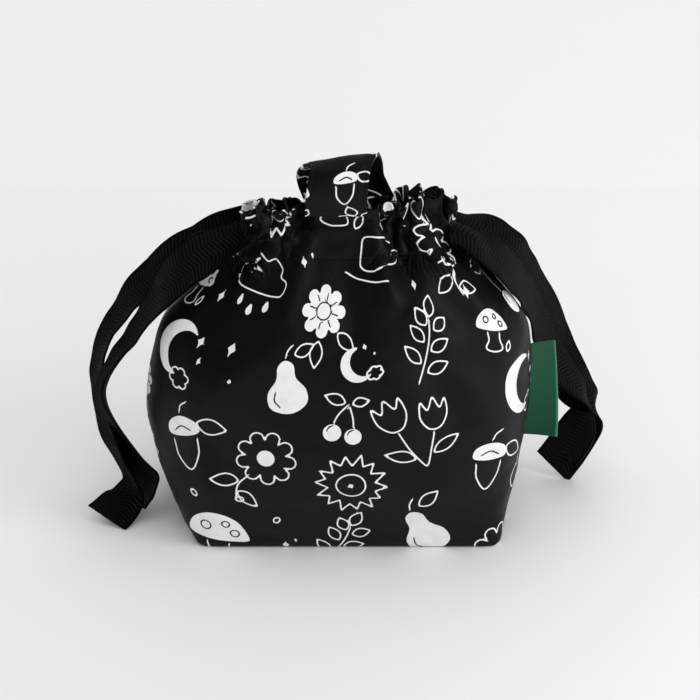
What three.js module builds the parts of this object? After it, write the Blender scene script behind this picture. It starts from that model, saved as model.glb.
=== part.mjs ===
// Small drawstring tote bag (lunch pouch), in millimetres, +Z up, front towards -Y.
// The origin is the middle of the flat base, on the surface that the bag stands on.
import * as THREE from "three";

// ---------- driving dimensions ----------
const CLOTH = 1.2; // outer panels
const LINING = 0.8; // lining panels
const LINING_GAP = 0.8; // between the outer cloth and the lining
const SEAM_GAP = 0.4; // between pieces that meet edge to edge
const RIM_Z = 161; // top of the body panels, where the casings start
const CASING_TOP = 187; // stitch line above the casings
const HEADING_TOP = 194; // top of the ruffled heading
const CASING_X = [-57, 54]; // ends of the gathered casings
const LEAF_Y = [16.0, 17.2]; // outer leaf of a casing, from the middle plane
const FACING_X = [-48.5, 45.5]; // the inner leaves stop short, so that the tapes turn between them
const FACING_Y = [10.0, 11.2]; // inner leaf of a casing
const RUN_Y = 13.6; // middle of the tape that runs inside a casing
const RUN_HIGH = 11.6; // height of a tape crumpled double in its casing
const RUN_THICK = 2.4;
const RUN_Z_LEFT = 181.0; // the left tape lies in the upper half of both casings
const RUN_Z_RIGHT = 169.0; // the right tape lies in the lower half
const TAPE_WIDE = 25;
const TAPE_THICK = 1.1;
const STRAP_WIDE = 34.4;
const STRAP_LAYER = 0.75;
const STRAP_HALF_SPAN = 16.3; // from the middle plane to the middle of the strap's two layers
const STRAP_FOOT_Z = 196.3; // where the free part of the strap starts
const STRAP_LEG_Z = 199; // top of its straight legs
const STRAP_TOP_Z = 212.6; // middle of its two layers at the top
const STRAP_X = [-7.6, 3.0]; // middle of the strap at its front root and at its back root
const STRAP_PIVOT_X = -2.3;
const STRAP_TILT = 0.1; // the top of the strap rises towards +X
const LABEL = { x: [101.5, 117.5], y: 0.75, z: [42, 99] };

// ---------- outline of the stuffed body: height, left edge, right edge, front, back, squareness ----------
const BODY = [
  [0, -84, 83, 53, 53, 9],
  [5, -91, 87, 56, 56, 6],
  [12, -98, 91, 59, 59, 4.4],
  [25, -106, 94, 62, 62, 3.2],
  [40, -110.5, 98, 65, 64.5, 2.7],
  [54, -111.7, 99.6, 66, 65.5, 2.45],
  [80, -109.5, 99.8, 65, 64.5, 2.35],
  [98, -106, 98.6, 61.5, 61, 2.3],
  [118, -101, 91, 54, 53.5, 2.25],
  [130, -91, 84, 46, 46, 2.2],
  [141, -79, 77, 37, 37, 2.2],
  [151, -70, 69, 27.5, 27.5, 2.2],
  [161, -61.5, 59.5, 18.6, 18.6, 2.2],
];

// A smooth curve through the rows of a table, by its first column.
function row(table, at) {
  let i = 0;
  while (i < table.length - 2 && at > table[i + 1][0]) i++;
  const slope = (j, c) => {
    const a = table[Math.max(j - 1, 0)],
      b = table[Math.min(j + 1, table.length - 1)];
    return (b[c] - a[c]) / (b[0] - a[0]);
  };
  const [p, q] = [table[i], table[i + 1]];
  const h = q[0] - p[0],
    t = Math.min(Math.max((at - p[0]) / h, 0), 1);
  return p.map((_, c) =>
    c === 0
      ? at
      : (2 * t ** 3 - 3 * t ** 2 + 1) * p[c] +
        (t ** 3 - 2 * t ** 2 + t) * h * slope(i, c) +
        (3 * t ** 2 - 2 * t ** 3) * q[c] +
        (t ** 3 - t ** 2) * h * slope(i + 1, c),
  );
}

// A point of the body at an angle round it and a height, moved inwards by a distance.
function bodyPoint(angle, z, inward) {
  const [, left, right, front, back, square] = row(BODY, z);
  const cx = (left + right) / 2,
    a = (right - left) / 2 - inward,
    b = (Math.sin(angle) < 0 ? front : back) - inward;
  const c = Math.cos(angle),
    s = Math.sin(angle),
    e = 2 / square;
  return [
    cx + a * Math.sign(c) * Math.abs(c) ** e,
    b * Math.sign(s) * Math.abs(s) ** e,
    z,
  ];
}

// ---------- one closed block, its faces cut into a grid, bent by a function of (u, v, w) in 0..1 ----------
function bent(name, material, nu, nv, nw, f) {
  const g = new THREE.BoxGeometry(1, 1, 1, nu, nv, nw);
  g.deleteAttribute("uv");
  const p = g.attributes.position;
  const tidy = (k) => Math.round((k + 0.5) * 1e6) / 1e6;
  for (let i = 0; i < p.count; i++)
    p.setXYZ(i, ...f(tidy(p.getX(i)), tidy(p.getY(i)), tidy(p.getZ(i))));
  const ix = g.index.array;
  let volume = 0;
  const a = new THREE.Vector3(),
    b = new THREE.Vector3(),
    c = new THREE.Vector3();
  for (let i = 0; i < ix.length; i += 3) {
    a.fromBufferAttribute(p, ix[i]);
    b.fromBufferAttribute(p, ix[i + 1]);
    c.fromBufferAttribute(p, ix[i + 2]);
    volume += a.dot(b.cross(c));
  }
  if (volume < 0)
    for (let i = 0; i < ix.length; i += 3) [ix[i + 1], ix[i + 2]] = [ix[i + 2], ix[i + 1]];
  g.computeVertexNormals();
  const mesh = new THREE.Mesh(g, material);
  mesh.name = name;
  return mesh;
}
const mix = (a, b, t) => a + (b - a) * t;
const finish = (color, roughness) => new THREE.MeshStandardMaterial({ color, roughness, metalness: 0 });

const group = new THREE.Group();
const add = (...meshes) => meshes.forEach((m) => group.add(m));

// ---------- body: outer panels, lining panels, base ----------
const LEVELS = [CLOTH + SEAM_GAP, 3.2, 8, 15, 26, 42, 58, 78, 97, 114, 128, 140, 151, RIM_Z]; // heights of the panels' rows
const HALF = { front: [Math.PI, 2 * Math.PI], back: [0, Math.PI] };
function panel(name, side, outside, thick, levels, material) {
  const [a0, a1] = HALF[side];
  const sign = side === "front" ? -1 : 1;
  return bent(name, material(), 20, levels.length - 1, 1, (u, v, w) => {
    const z = levels[Math.round(v * (levels.length - 1))];
    const p = bodyPoint(mix(a0, a1, u), z, outside + thick * (1 - w));
    // the two panels stand a seam's gap apart at the side seams
    p[1] = sign * Math.max(Math.abs(p[1]), SEAM_GAP / 2);
    return p;
  });
}
const outer = () => finish(0x1b1b1f, 0.85);
const inner = () => finish(0x202024, 0.9);
const black = () => finish(0x111113, 0.9);
add(
  panel("outer_front_panel", "front", 0, CLOTH, LEVELS, outer),
  panel("outer_back_panel", "back", 0, CLOTH, LEVELS, outer),
  panel("lining_front", "front", CLOTH + LINING_GAP, LINING, LEVELS.slice(1), inner),
  panel("lining_back", "back", CLOTH + LINING_GAP, LINING, LEVELS.slice(1), inner),
);
function plate(name, z0, z1, inward, material) {
  const shape = new THREE.Shape(
    Array.from({ length: 48 }, (_, i) => {
      const [x, y] = bodyPoint((i / 48) * 2 * Math.PI + 0.001, 0, inward);
      return new THREE.Vector2(x, y);
    }),
  );
  const g = new THREE.ExtrudeGeometry(shape, { depth: z1 - z0, bevelEnabled: false });
  g.translate(0, 0, z0);
  const mesh = new THREE.Mesh(g, material());
  mesh.name = name;
  return mesh;
}
add(plate("outer_base", 0, CLOTH, 0, outer), plate("lining_base", 1.8, 1.8 + LINING, CLOTH + LINING_GAP + 0.4, inner));

// ---------- casings: outer leaf, facing and ruffled heading, front and back ----------
for (const [side, sign] of [["front", -1], ["back", 1]]) {
  const leaf = (name, y, z0, z1, material, bulge, x = CASING_X) =>
    bent(name, material(), 8, 3, 1, (u, v, w) => [
      mix(x[0], x[1], u),
      sign * (mix(y[0], y[1], w) + bulge * Math.sin(Math.PI * v)),
      mix(z0, z1, v),
    ]);
  add(
    leaf(`casing_${side}`, LEAF_Y, RIM_Z + SEAM_GAP, CASING_TOP, outer, 0.8),
    leaf(`casing_facing_${side}`, FACING_Y, RIM_Z + SEAM_GAP, CASING_TOP, inner, 0, FACING_X),
    leaf(`heading_${side}`, [12.2, 15.0], CASING_TOP + SEAM_GAP, HEADING_TOP, outer, 0),
  );
}

// ---------- strap: two layers over the mouth, and its sewn roots ----------
function strapPoint(across, along, layer) {
  // along runs from the front foot (0) over the top to the back foot (1); layer is the distance from the middle
  const leg = STRAP_LEG_Z - STRAP_FOOT_Z,
    arc = 38.5,
    total = 2 * leg + arc,
    s = along * total;
  let y, z, ny, nz;
  if (s < leg || s > leg + arc) {
    const front = s < leg;
    y = front ? -STRAP_HALF_SPAN : STRAP_HALF_SPAN;
    z = STRAP_FOOT_Z + (front ? s : total - s);
    ny = front ? -1 : 1;
    nz = 0;
  } else {
    const t = Math.PI * (1 - (s - leg) / arc),
      rise = STRAP_TOP_Z - STRAP_LEG_Z;
    y = STRAP_HALF_SPAN * Math.cos(t);
    z = STRAP_LEG_Z + rise * Math.sin(t);
    ny = Math.cos(t) / STRAP_HALF_SPAN;
    nz = Math.sin(t) / rise;
    const n = Math.hypot(ny, nz);
    ny /= n;
    nz /= n;
  }
  const up = Math.max(0, (z - STRAP_LEG_Z) / (STRAP_TOP_Z - STRAP_LEG_Z));
  const x = mix(STRAP_X[0], STRAP_X[1], along) + across * STRAP_WIDE;
  return [x, y + ny * layer, z + nz * layer + STRAP_TILT * across * STRAP_WIDE * up];
}
const strap = (name, from, to, material) =>
  bent(name, material(), 4, 22, 1, (u, v, w) => strapPoint(u - 0.5, v, mix(from, to, w)));
add(
  strap("strap_outer", 0.15, 0.15 + STRAP_LAYER, outer),
  strap("strap_facing", -0.15 - STRAP_LAYER, -0.15, outer),
);
// Each root is a sewn tab. Its roofed top leaves room for the strap's foot to sway.
for (const [side, sign, x0, x1] of [["front", -1, -24.6, 9.4], ["back", 1, -14.0, 18.6]]) {
  const roof = (x) => Math.max(CASING_TOP + 0.8, STRAP_FOOT_Z - 0.6 - Math.abs(x - STRAP_PIVOT_X) * Math.tan(THREE.MathUtils.degToRad(21)));
  add(
    bent(`strap_root_${side}`, outer(), 8, 1, 1, (u, v, w) => {
      const x = mix(x0, x1, u);
      return [x, sign * mix(15.4, 17.2, w), mix(CASING_TOP + SEAM_GAP, roof(x), v)];
    }),
  );
}

// ---------- side label, folded double and sewn into the right-hand seam ----------
add(
  bent("side_label", finish(0x14693c, 0.7), 4, 8, 1, (u, v, w) => [
    mix(LABEL.x[0], LABEL.x[1], u),
    mix(-LABEL.y, LABEL.y, w) * (u > 0.9 ? 0.8 : 1),
    mix(LABEL.z[0], LABEL.z[1], v),
  ]),
);

// ---------- drawstring tapes ----------
// Each free strand: centre x, y, z and the direction across its width.
const LEFT_BACK = [
  [-58.0, 13.6, 181.0, 0, 0, 1], [-63.0, 14.4, 180.6, 0, 0, 1], [-76.0, 13.5, 169.5, -0.22, 0.12, 0.97], [-89.0, 12.0, 155.0, -0.42, 0.3, 0.85],
  [-102.2, 11.5, 138.7, -0.52, 0.45, 0.72], [-116.8, 13.0, 125.4, -0.52, 0.66, 0.54], [-131.8, 15.0, 105.5, -0.42, 0.86, 0.3],
  [-140.4, 15.5, 89.8, -0.32, 0.93, 0.15], [-144.0, 15.5, 71.8, -0.26, 0.97, 0], [-143.6, 15.0, 53.7, -0.22, 0.98, 0],
  [-140.4, 14.0, 37.6, -0.15, 0.99, 0], [-136.4, 12.0, 26.0, -0.2, 0.98, 0.05], [-132.4, 8.5, 17.6, -0.3, 0.95, 0],
  [-128.6, 2.0, 12.4, -0.5, 0.86, -0.12], [-127.8, -7.0, 9.2, -0.75, 0.65, -0.1], [-131.2, -19.5, 7.0, -0.88, 0.46, 0.1], [-135.6, -33.0, 7.0, -0.88, 0.23, 0.42],
];
const LEFT_FRONT = [
  [-58.0, -13.6, 181.0, 0, 0, 1], [-63.0, -14.6, 180.8, 0, 0, 1], [-71.5, -15.2, 172.5, -0.2, 0.2, 0.96], [-81.6, -15.0, 160.4, -0.38, 0.55, 0.75],
  [-91.6, -15.5, 151.4, -0.39, 0.78, 0.49], [-101.1, -16.0, 140.8, -0.27, 0.93, 0.25], [-109.8, -16.0, 128.6, -0.1, 0.99, 0.1],
  [-117.9, -14.0, 115.9, -0.02, 1, 0.02], [-126.4, -11.5, 100.5, -0.05, 1, 0.02], [-133.4, -8.5, 83.2, -0.12, 0.99, 0.02],
  [-135.0, -5.0, 65.0, -0.15, 0.99, 0], [-131.8, -1.0, 47.5, -0.05, 1, 0], [-124.0, 6.5, 32.6, 0.1, 0.99, 0.08],
  [-114.6, 12.0, 19.6, 0.26, 0.94, 0.2], [-110.0, 13.5, 9.8, 0.26, 0.94, 0.2], [-110.0, 11.5, 3.8, 0.1, 0.99, 0.1],
  [-115.2, 8.0, 1.4, -0.05, 1, 0.02], [-120.4, 7.0, 1.0, -0.1, 0.99, 0],
];
const RIGHT_FRONT = [
  [55.0, -13.6, 169.0, 0, 0, 1], [60.0, -13.8, 169.0, 0, 0, 1], [68.3, -14.0, 168.6, 0.3, 0.05, 0.95], [79.4, -12.0, 160.6, 0.5, 0.12, 0.86],
  [90.9, -4.5, 146.2, 0.62, 0.25, 0.74], [102.4, 3.5, 125.5, 0.68, 0.42, 0.6], [112.8, 11.0, 100.7, 0.65, 0.62, 0.43],
  [124.0, 17.5, 74.1, 0.58, 0.78, 0.22], [132.8, 21.5, 54.3, 0.36, 0.92, 0.1], [139.4, 24.0, 38.3, 0, 1, 0.02],
  [134.3, 26.0, 25.8, -0.36, 0.78, 0.5], [126.8, 28.0, 17.0, -0.6, 0.45, 0.66], [118.3, 29.0, 9.6, -0.69, 0.22, 0.69],
];
const RIGHT_BACK = [
  [55.0, 13.6, 169.0, 0, 0, 1], [60.0, 13.8, 169.0, 0, 0, 1], [70.6, 12.5, 164.0, 0.3, 0.05, 0.95], [83.6, 11.0, 155.4, 0.5, 0.12, 0.86],
  [95.4, 12.5, 141.6, 0.62, 0.25, 0.74], [106.0, 16.5, 122.0, 0.68, 0.42, 0.6], [115.6, 22.0, 98.4, 0.65, 0.62, 0.43],
  [125.8, 27.1, 76.4, 0.58, 0.78, 0.22], [132.0, 29.9, 55.7, 0.36, 0.93, 0.1], [135.6, 30.2, 39.1, 0, 1, 0.02],
  [129.3, 29.5, 28.9, -0.36, 0.78, 0.5], [122.6, 28.6, 20.6, -0.6, 0.45, 0.66], [115.2, 28.4, 13.0, -0.69, 0.22, 0.69],
];
const STEPS = 3; // slices between two listed points
function strandFrames(keys) {
  const along = [0];
  for (let i = 1; i < keys.length; i++)
    along.push(along[i - 1] + Math.hypot(...[0, 1, 2].map((c) => keys[i][c] - keys[i - 1][c])));
  const last = keys.length - 1;
  const slope = keys.map((k, i) =>
    k.map((v, c) => {
      if (i === 0) return (keys[1][c] - v) / along[1];
      if (i === last) return (v - keys[last - 1][c]) / (along[last] - along[last - 1]);
      const h0 = along[i] - along[i - 1],
        h1 = along[i + 1] - along[i];
      return (((v - keys[i - 1][c]) / h0) * h1 + ((keys[i + 1][c] - v) / h1) * h0) / (h0 + h1);
    }),
  );
  const points = [];
  for (let i = 0; i < last; i++)
    for (let j = 0; j < STEPS; j++) {
      const t = j / STEPS,
        h = along[i + 1] - along[i];
      points.push(
        keys[i].map(
          (v, c) =>
            (2 * t ** 3 - 3 * t ** 2 + 1) * v +
            (t ** 3 - 2 * t ** 2 + t) * h * slope[i][c] +
            (3 * t ** 2 - 2 * t ** 3) * keys[i + 1][c] +
            (t ** 3 - t ** 2) * h * slope[i + 1][c],
        ),
      );
    }
  points.push(keys[last]);
  let s = 0;
  return points.map((p, i) => {
    const a = points[Math.max(i - 1, 0)],
      b = points[Math.min(i + 1, points.length - 1)];
    if (i) s += Math.hypot(...[0, 1, 2].map((c) => p[c] - a[c]));
    const tangent = new THREE.Vector3(b[0] - a[0], b[1] - a[1], b[2] - a[2]).normalize();
    const across = new THREE.Vector3(p[3], p[4], p[5]);
    across.addScaledVector(tangent, -across.dot(tangent)).normalize();
    const normal = new THREE.Vector3().crossVectors(tangent, across);
    const wide = mix(RUN_HIGH, TAPE_WIDE, Math.min(1, Math.max(0, (s - 8) / 11)));
    const lift = Math.max(0, 0.7 + Math.abs(across.z) * (wide / 2) - p[2]);
    return { at: new THREE.Vector3(p[0], p[1], p[2] + lift), across, normal, wide };
  });
}
function strand(name, keys) {
  const frames = strandFrames(keys);
  const n = frames.length - 1;
  return bent(name, black(), 4, n, 1, (u, v, w) => {
    const f = frames[Math.round(v * n)];
    const p = f.at
      .clone()
      .addScaledVector(f.across, (u - 0.5) * f.wide)
      .addScaledVector(f.normal, (w - 0.5) * TAPE_THICK);
    return [p.x, p.y, Math.max(p.z, 0.1)];
  });
}
add(
  strand("left_tape_front_strand", LEFT_FRONT),
  strand("left_tape_back_strand", LEFT_BACK),
  strand("right_tape_front_strand", RIGHT_FRONT),
  strand("right_tape_back_strand", RIGHT_BACK),
);
// Inside the casings each tape runs the whole length, turns round the far seam and comes back.
for (const [side, z, near, far] of [["left", RUN_Z_LEFT, -57.2, 54.5], ["right", RUN_Z_RIGHT, 54.2, -57.5]]) {
  const out = Math.sign(far - near);
  for (const [run, sign] of [["front", -1], ["back", 1]])
    add(
      bent(`${side}_tape_${run}_run`, black(), 6, 1, 1, (u, v, w) => [
        mix(near, far, u),
        sign * RUN_Y + (w - 0.5) * RUN_THICK,
        z + (v - 0.5) * RUN_HIGH,
      ]),
    );
  add(
    bent(`${side}_tape_turn`, black(), 14, 1, 1, (u, v, w) => {
      const t = Math.PI * (u - 0.5),
        r = w - 0.5;
      return [
        far + out * (SEAM_GAP + (5 + r * RUN_THICK) * Math.cos(t)),
        (RUN_Y + r * RUN_THICK) * Math.sin(t),
        z + (v - 0.5) * RUN_HIGH,
      ];
    }),
  );
}

export default group;
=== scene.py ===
"""Looks of a small black cotton drawstring bag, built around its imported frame. Metres, +Z up; lengths below are in millimetres
until a mesh is made."""

import math

import bmesh
import bpy
import numpy as np
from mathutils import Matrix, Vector


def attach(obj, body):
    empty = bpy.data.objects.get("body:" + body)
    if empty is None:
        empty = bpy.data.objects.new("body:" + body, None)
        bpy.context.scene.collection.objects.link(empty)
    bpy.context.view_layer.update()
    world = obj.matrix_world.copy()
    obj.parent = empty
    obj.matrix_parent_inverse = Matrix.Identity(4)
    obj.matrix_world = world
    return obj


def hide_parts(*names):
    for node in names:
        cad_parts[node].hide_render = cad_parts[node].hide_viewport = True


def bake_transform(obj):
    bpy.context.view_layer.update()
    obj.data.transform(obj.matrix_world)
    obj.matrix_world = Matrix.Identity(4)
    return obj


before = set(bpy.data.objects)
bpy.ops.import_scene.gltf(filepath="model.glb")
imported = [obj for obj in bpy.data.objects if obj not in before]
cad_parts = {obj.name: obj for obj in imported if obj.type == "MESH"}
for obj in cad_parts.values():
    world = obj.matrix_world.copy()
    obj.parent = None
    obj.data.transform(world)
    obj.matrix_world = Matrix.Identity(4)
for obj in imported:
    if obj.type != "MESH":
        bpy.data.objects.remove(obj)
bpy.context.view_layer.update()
scene = bpy.context.scene
scene.view_settings.view_transform = "Standard"
scene.view_settings.look = "None"

# ------------------------------------------------------------------ camera
PITCH = math.radians(27)
AIM = np.array([0.0, 0.0, 0.095])
cam_data = bpy.data.cameras.new("camera")
cam_data.lens = 185.14
cam_data.sensor_width = 36
cam_data.clip_end = 20
cam = bpy.data.objects.new("camera", cam_data)
scene.collection.objects.link(cam)
cam.location = AIM + 2.0 * np.array([0, -math.cos(PITCH), math.sin(PITCH)])
cam.rotation_euler = (math.pi / 2 - PITCH, 0, 0)
scene.camera = cam


# ------------------------------------------------------------------ small maths
def smooth(a, b, x):
    t = np.clip((np.asarray(x, float) - a) / (b - a), 0, 1)
    return t * t * (3 - 2 * t)


def bessel(n, x):
    """J_n by its integral."""
    t = (np.arange(64) + 0.5) * math.pi / 64
    x = np.asarray(x, float)
    return np.cos(n * t - x[..., None] * np.sin(t)).mean(-1)


_theta = np.linspace(0, 2.0, 400)
_j0 = bessel(0, _theta)


def fold_angle(g):
    """The steepest slope of an unstretched fold that takes the cloth up to g of its own width."""
    return np.interp(-np.clip(g, 0.2, 1), -_j0, _theta)


def noise2(shape, pitch, scale, seed):
    """Smooth noise on a grid of that pitch, of unit deviation, with bumps about scale wide."""
    rng = np.random.default_rng(seed)
    pad = [int(3 * scale / p) + 2 for p in pitch]
    w = rng.standard_normal([n + 2 * q for n, q in zip(shape, pad)])
    f = np.fft.rfft2(w)
    ky = np.fft.fftfreq(w.shape[0])[:, None] / pitch[0]
    kx = np.fft.rfftfreq(w.shape[1])[None, :] / pitch[1]
    f *= np.exp(-0.5 * (2 * math.pi * scale * 0.35) ** 2 * (kx**2 + ky**2))
    out = np.fft.irfft2(f, s=w.shape)[pad[0] : pad[0] + shape[0], pad[1] : pad[1] + shape[1]]
    return (out - out.mean()) / (out.std() + 1e-9)


def noise1(x, scale, seed):
    rng = np.random.default_rng(seed)
    knots = np.arange(x.min() - 2 * scale, x.max() + 3 * scale, scale)
    v = rng.standard_normal(len(knots))
    i = np.clip(((x - knots[0]) / scale).astype(int), 0, len(knots) - 2)
    t = (x - knots[i]) / scale
    t = t * t * (3 - 2 * t)
    return v[i] * (1 - t) + v[i + 1] * t


def normals_of(p, flip=False):
    du, dv = np.gradient(p, axis=0), np.gradient(p, axis=1)
    n = np.cross(du, dv)
    n /= np.linalg.norm(n, axis=-1, keepdims=True) + 1e-12
    return -n if flip else n


# ------------------------------------------------------------------ meshes
def make_mesh(name, verts, faces, material, uv=None, bake=None, smooth_shade=True):
    """verts in mm, faces as a list of (k, 4) or (k, 3) index arrays, uv and bake per corner in the same order."""
    me = bpy.data.meshes.new(name)
    verts = np.asarray(verts, np.float64) * 0.001
    faces = [np.asarray(f, np.int32) for f in faces if len(f)]
    loops = np.concatenate([f.ravel() for f in faces])
    sizes = np.concatenate([np.full(len(f), f.shape[1], np.int32) for f in faces])
    starts = np.concatenate([[0], np.cumsum(sizes)[:-1]]).astype(np.int32)
    me.vertices.add(len(verts))
    me.vertices.foreach_set("co", verts.astype(np.float32).ravel())
    me.loops.add(len(loops))
    me.loops.foreach_set("vertex_index", loops)
    me.polygons.add(len(sizes))
    me.polygons.foreach_set("loop_start", starts)
    for layer, values in (("print", uv), ("OFBake", bake)):
        if values is not None:
            lay = me.uv_layers.new(name=layer)
            lay.data.foreach_set("uv", np.asarray(values, np.float32).ravel())
    me.update(calc_edges=True)
    me.validate()
    if smooth_shade:
        me.polygons.foreach_set("use_smooth", np.ones(len(me.polygons), bool))
    ob = bpy.data.objects.new(name, me)
    scene.collection.objects.link(ob)
    if material is not None:
        me.materials.append(material)
    return ob


def attribute(ob, name, values):
    a = ob.data.attributes.new(name, "FLOAT", "POINT")
    a.data.foreach_set("value", np.asarray(values, np.float32).ravel())


def sheet_solid(name, p, thick, material, st, flip=False, centred=False, inner_smooth=0):
    """A closed sheet of cloth. p (nu, nv, 3) is its outer face, st (nu, nv, 2) its flat cloth coordinates in mm."""
    nu, nv = p.shape[:2]
    n = normals_of(p, flip)
    t = np.broadcast_to(np.asarray(thick, float), (nu, nv))[..., None]
    top = p + n * t / 2 if centred else p
    low = top - n * t
    idx = np.arange(nu * nv).reshape(nu, nv)
    a, b, c, d = idx[:-1, :-1], idx[1:, :-1], idx[1:, 1:], idx[:-1, 1:]
    q = np.stack([a, b, c, d], -1).reshape(-1, 4)
    if flip:
        q = q[:, ::-1]
    k = nu * nv
    walls = []
    for line, way in (
        (idx[:, 0], 1),
        (idx[-1, :], 1),
        (idx[::-1, -1], 1),
        (idx[::-1, 0].T if False else idx[0, ::-1], 1),
    ):
        w = np.stack([line[1:], line[:-1], line[:-1] + k, line[1:] + k], -1)
        walls.append(w[:, ::-1] if flip else w)
    walls = np.concatenate(walls)
    faces = np.concatenate([q, q[:, ::-1] + k, walls])
    # flat coordinates, and a map of its own for baking: the outer face large, the inner one small, the rims as strips
    flat = np.concatenate([st.reshape(-1, 2), st.reshape(-1, 2)])
    gu, gv = np.meshgrid(np.linspace(0, 1, nu), np.linspace(0, 1, nv), indexing="ij")
    wide = np.ptp(st[..., 0]) >= np.ptp(st[..., 1])
    x, y = (gu, gv) if wide else (gv, gu)
    outer = np.stack([0.005 + 0.99 * x, 0.005 + 0.84 * y], -1).reshape(-1, 2)
    inner = np.stack([0.005 + 0.99 * x, 0.86 + 0.10 * y], -1).reshape(-1, 2)
    bake = np.concatenate([outer, inner])[faces[: 2 * len(q)]]
    m = len(walls)
    s = np.arange(m) / m * 0.98 + 0.005
    e = s + 0.98 / m
    strip = np.stack(
        [np.stack([e, s * 0 + 0.975], -1), np.stack([s, s * 0 + 0.975], -1), np.stack([s, s * 0 + 0.99], -1), np.stack([e, s * 0 + 0.99], -1)], 1
    )
    bake = np.concatenate([bake, strip])
    ob = make_mesh(name, np.concatenate([top.reshape(-1, 3), low.reshape(-1, 3)]), [faces], material, flat[faces], bake)
    return ob


# ------------------------------------------------------------------ materials
def material(name):
    m = bpy.data.materials.new(name)
    m.use_nodes = True
    nt = m.node_tree
    nt.nodes.clear()
    out = nt.nodes.new("ShaderNodeOutputMaterial")
    bsdf = nt.nodes.new("ShaderNodeBsdfPrincipled")
    nt.links.new(bsdf.outputs[0], out.inputs[0])
    return m, nt, bsdf


class Nodes:
    def __init__(self, nt):
        self.nt = nt

    def new(self, kind, **props):
        n = self.nt.nodes.new(kind)
        for k, v in props.items():
            setattr(n, k, v)
        return n

    def put(self, socket, value):
        if isinstance(value, bpy.types.NodeSocket):
            self.nt.links.new(value, socket)
        elif value is not None:
            socket.default_value = value

    def math(self, op, a, b=None, c=None, clamp=False):
        n = self.new("ShaderNodeMath", operation=op, use_clamp=clamp)
        self.put(n.inputs[0], a)
        if b is not None:
            self.put(n.inputs[1], b)
        if c is not None:
            self.put(n.inputs[2], c)
        return n.outputs[0]

    def attr(self, name):
        return self.new("ShaderNodeAttribute", attribute_type="GEOMETRY", attribute_name=name).outputs["Fac"]

    def uv(self, name="print"):
        return self.new("ShaderNodeUVMap", uv_map=name).outputs[0]

    def xyz(self, vector):
        n = self.new("ShaderNodeSeparateXYZ")
        self.put(n.inputs[0], vector)
        return n.outputs[0], n.outputs[1], n.outputs[2]

    def noise(self, vector, scale, detail=2.0, rough=0.5):
        n = self.new("ShaderNodeTexNoise")
        self.put(n.inputs["Vector"], vector)
        n.inputs["Scale"].default_value = scale
        n.inputs["Detail"].default_value = detail
        n.inputs["Roughness"].default_value = rough
        return n.outputs["Fac"]

    def ramp(self, value, lo, hi, out_lo=0.0, out_hi=1.0, kind="SMOOTHSTEP"):
        n = self.new("ShaderNodeMapRange", interpolation_type=kind)
        self.put(n.inputs["Value"], value)
        for s, v in zip(("From Min", "From Max", "To Min", "To Max"), (lo, hi, out_lo, out_hi)):
            self.put(n.inputs[s], v)
        return n.outputs[0]

    def mix(self, fac, a, b):
        n = self.new("ShaderNodeMix", data_type="RGBA")
        self.put(n.inputs[0], fac)
        self.put(n.inputs[6], a)
        self.put(n.inputs[7], b)
        return n.outputs[2]

    def bump(self, height, strength, distance, normal=None):
        n = self.new("ShaderNodeBump")
        n.inputs["Strength"].default_value = strength
        n.inputs["Distance"].default_value = distance
        self.put(n.inputs["Height"], height)
        if normal is not None:
            self.put(n.inputs["Normal"], normal)
        return n.outputs[0]


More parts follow.
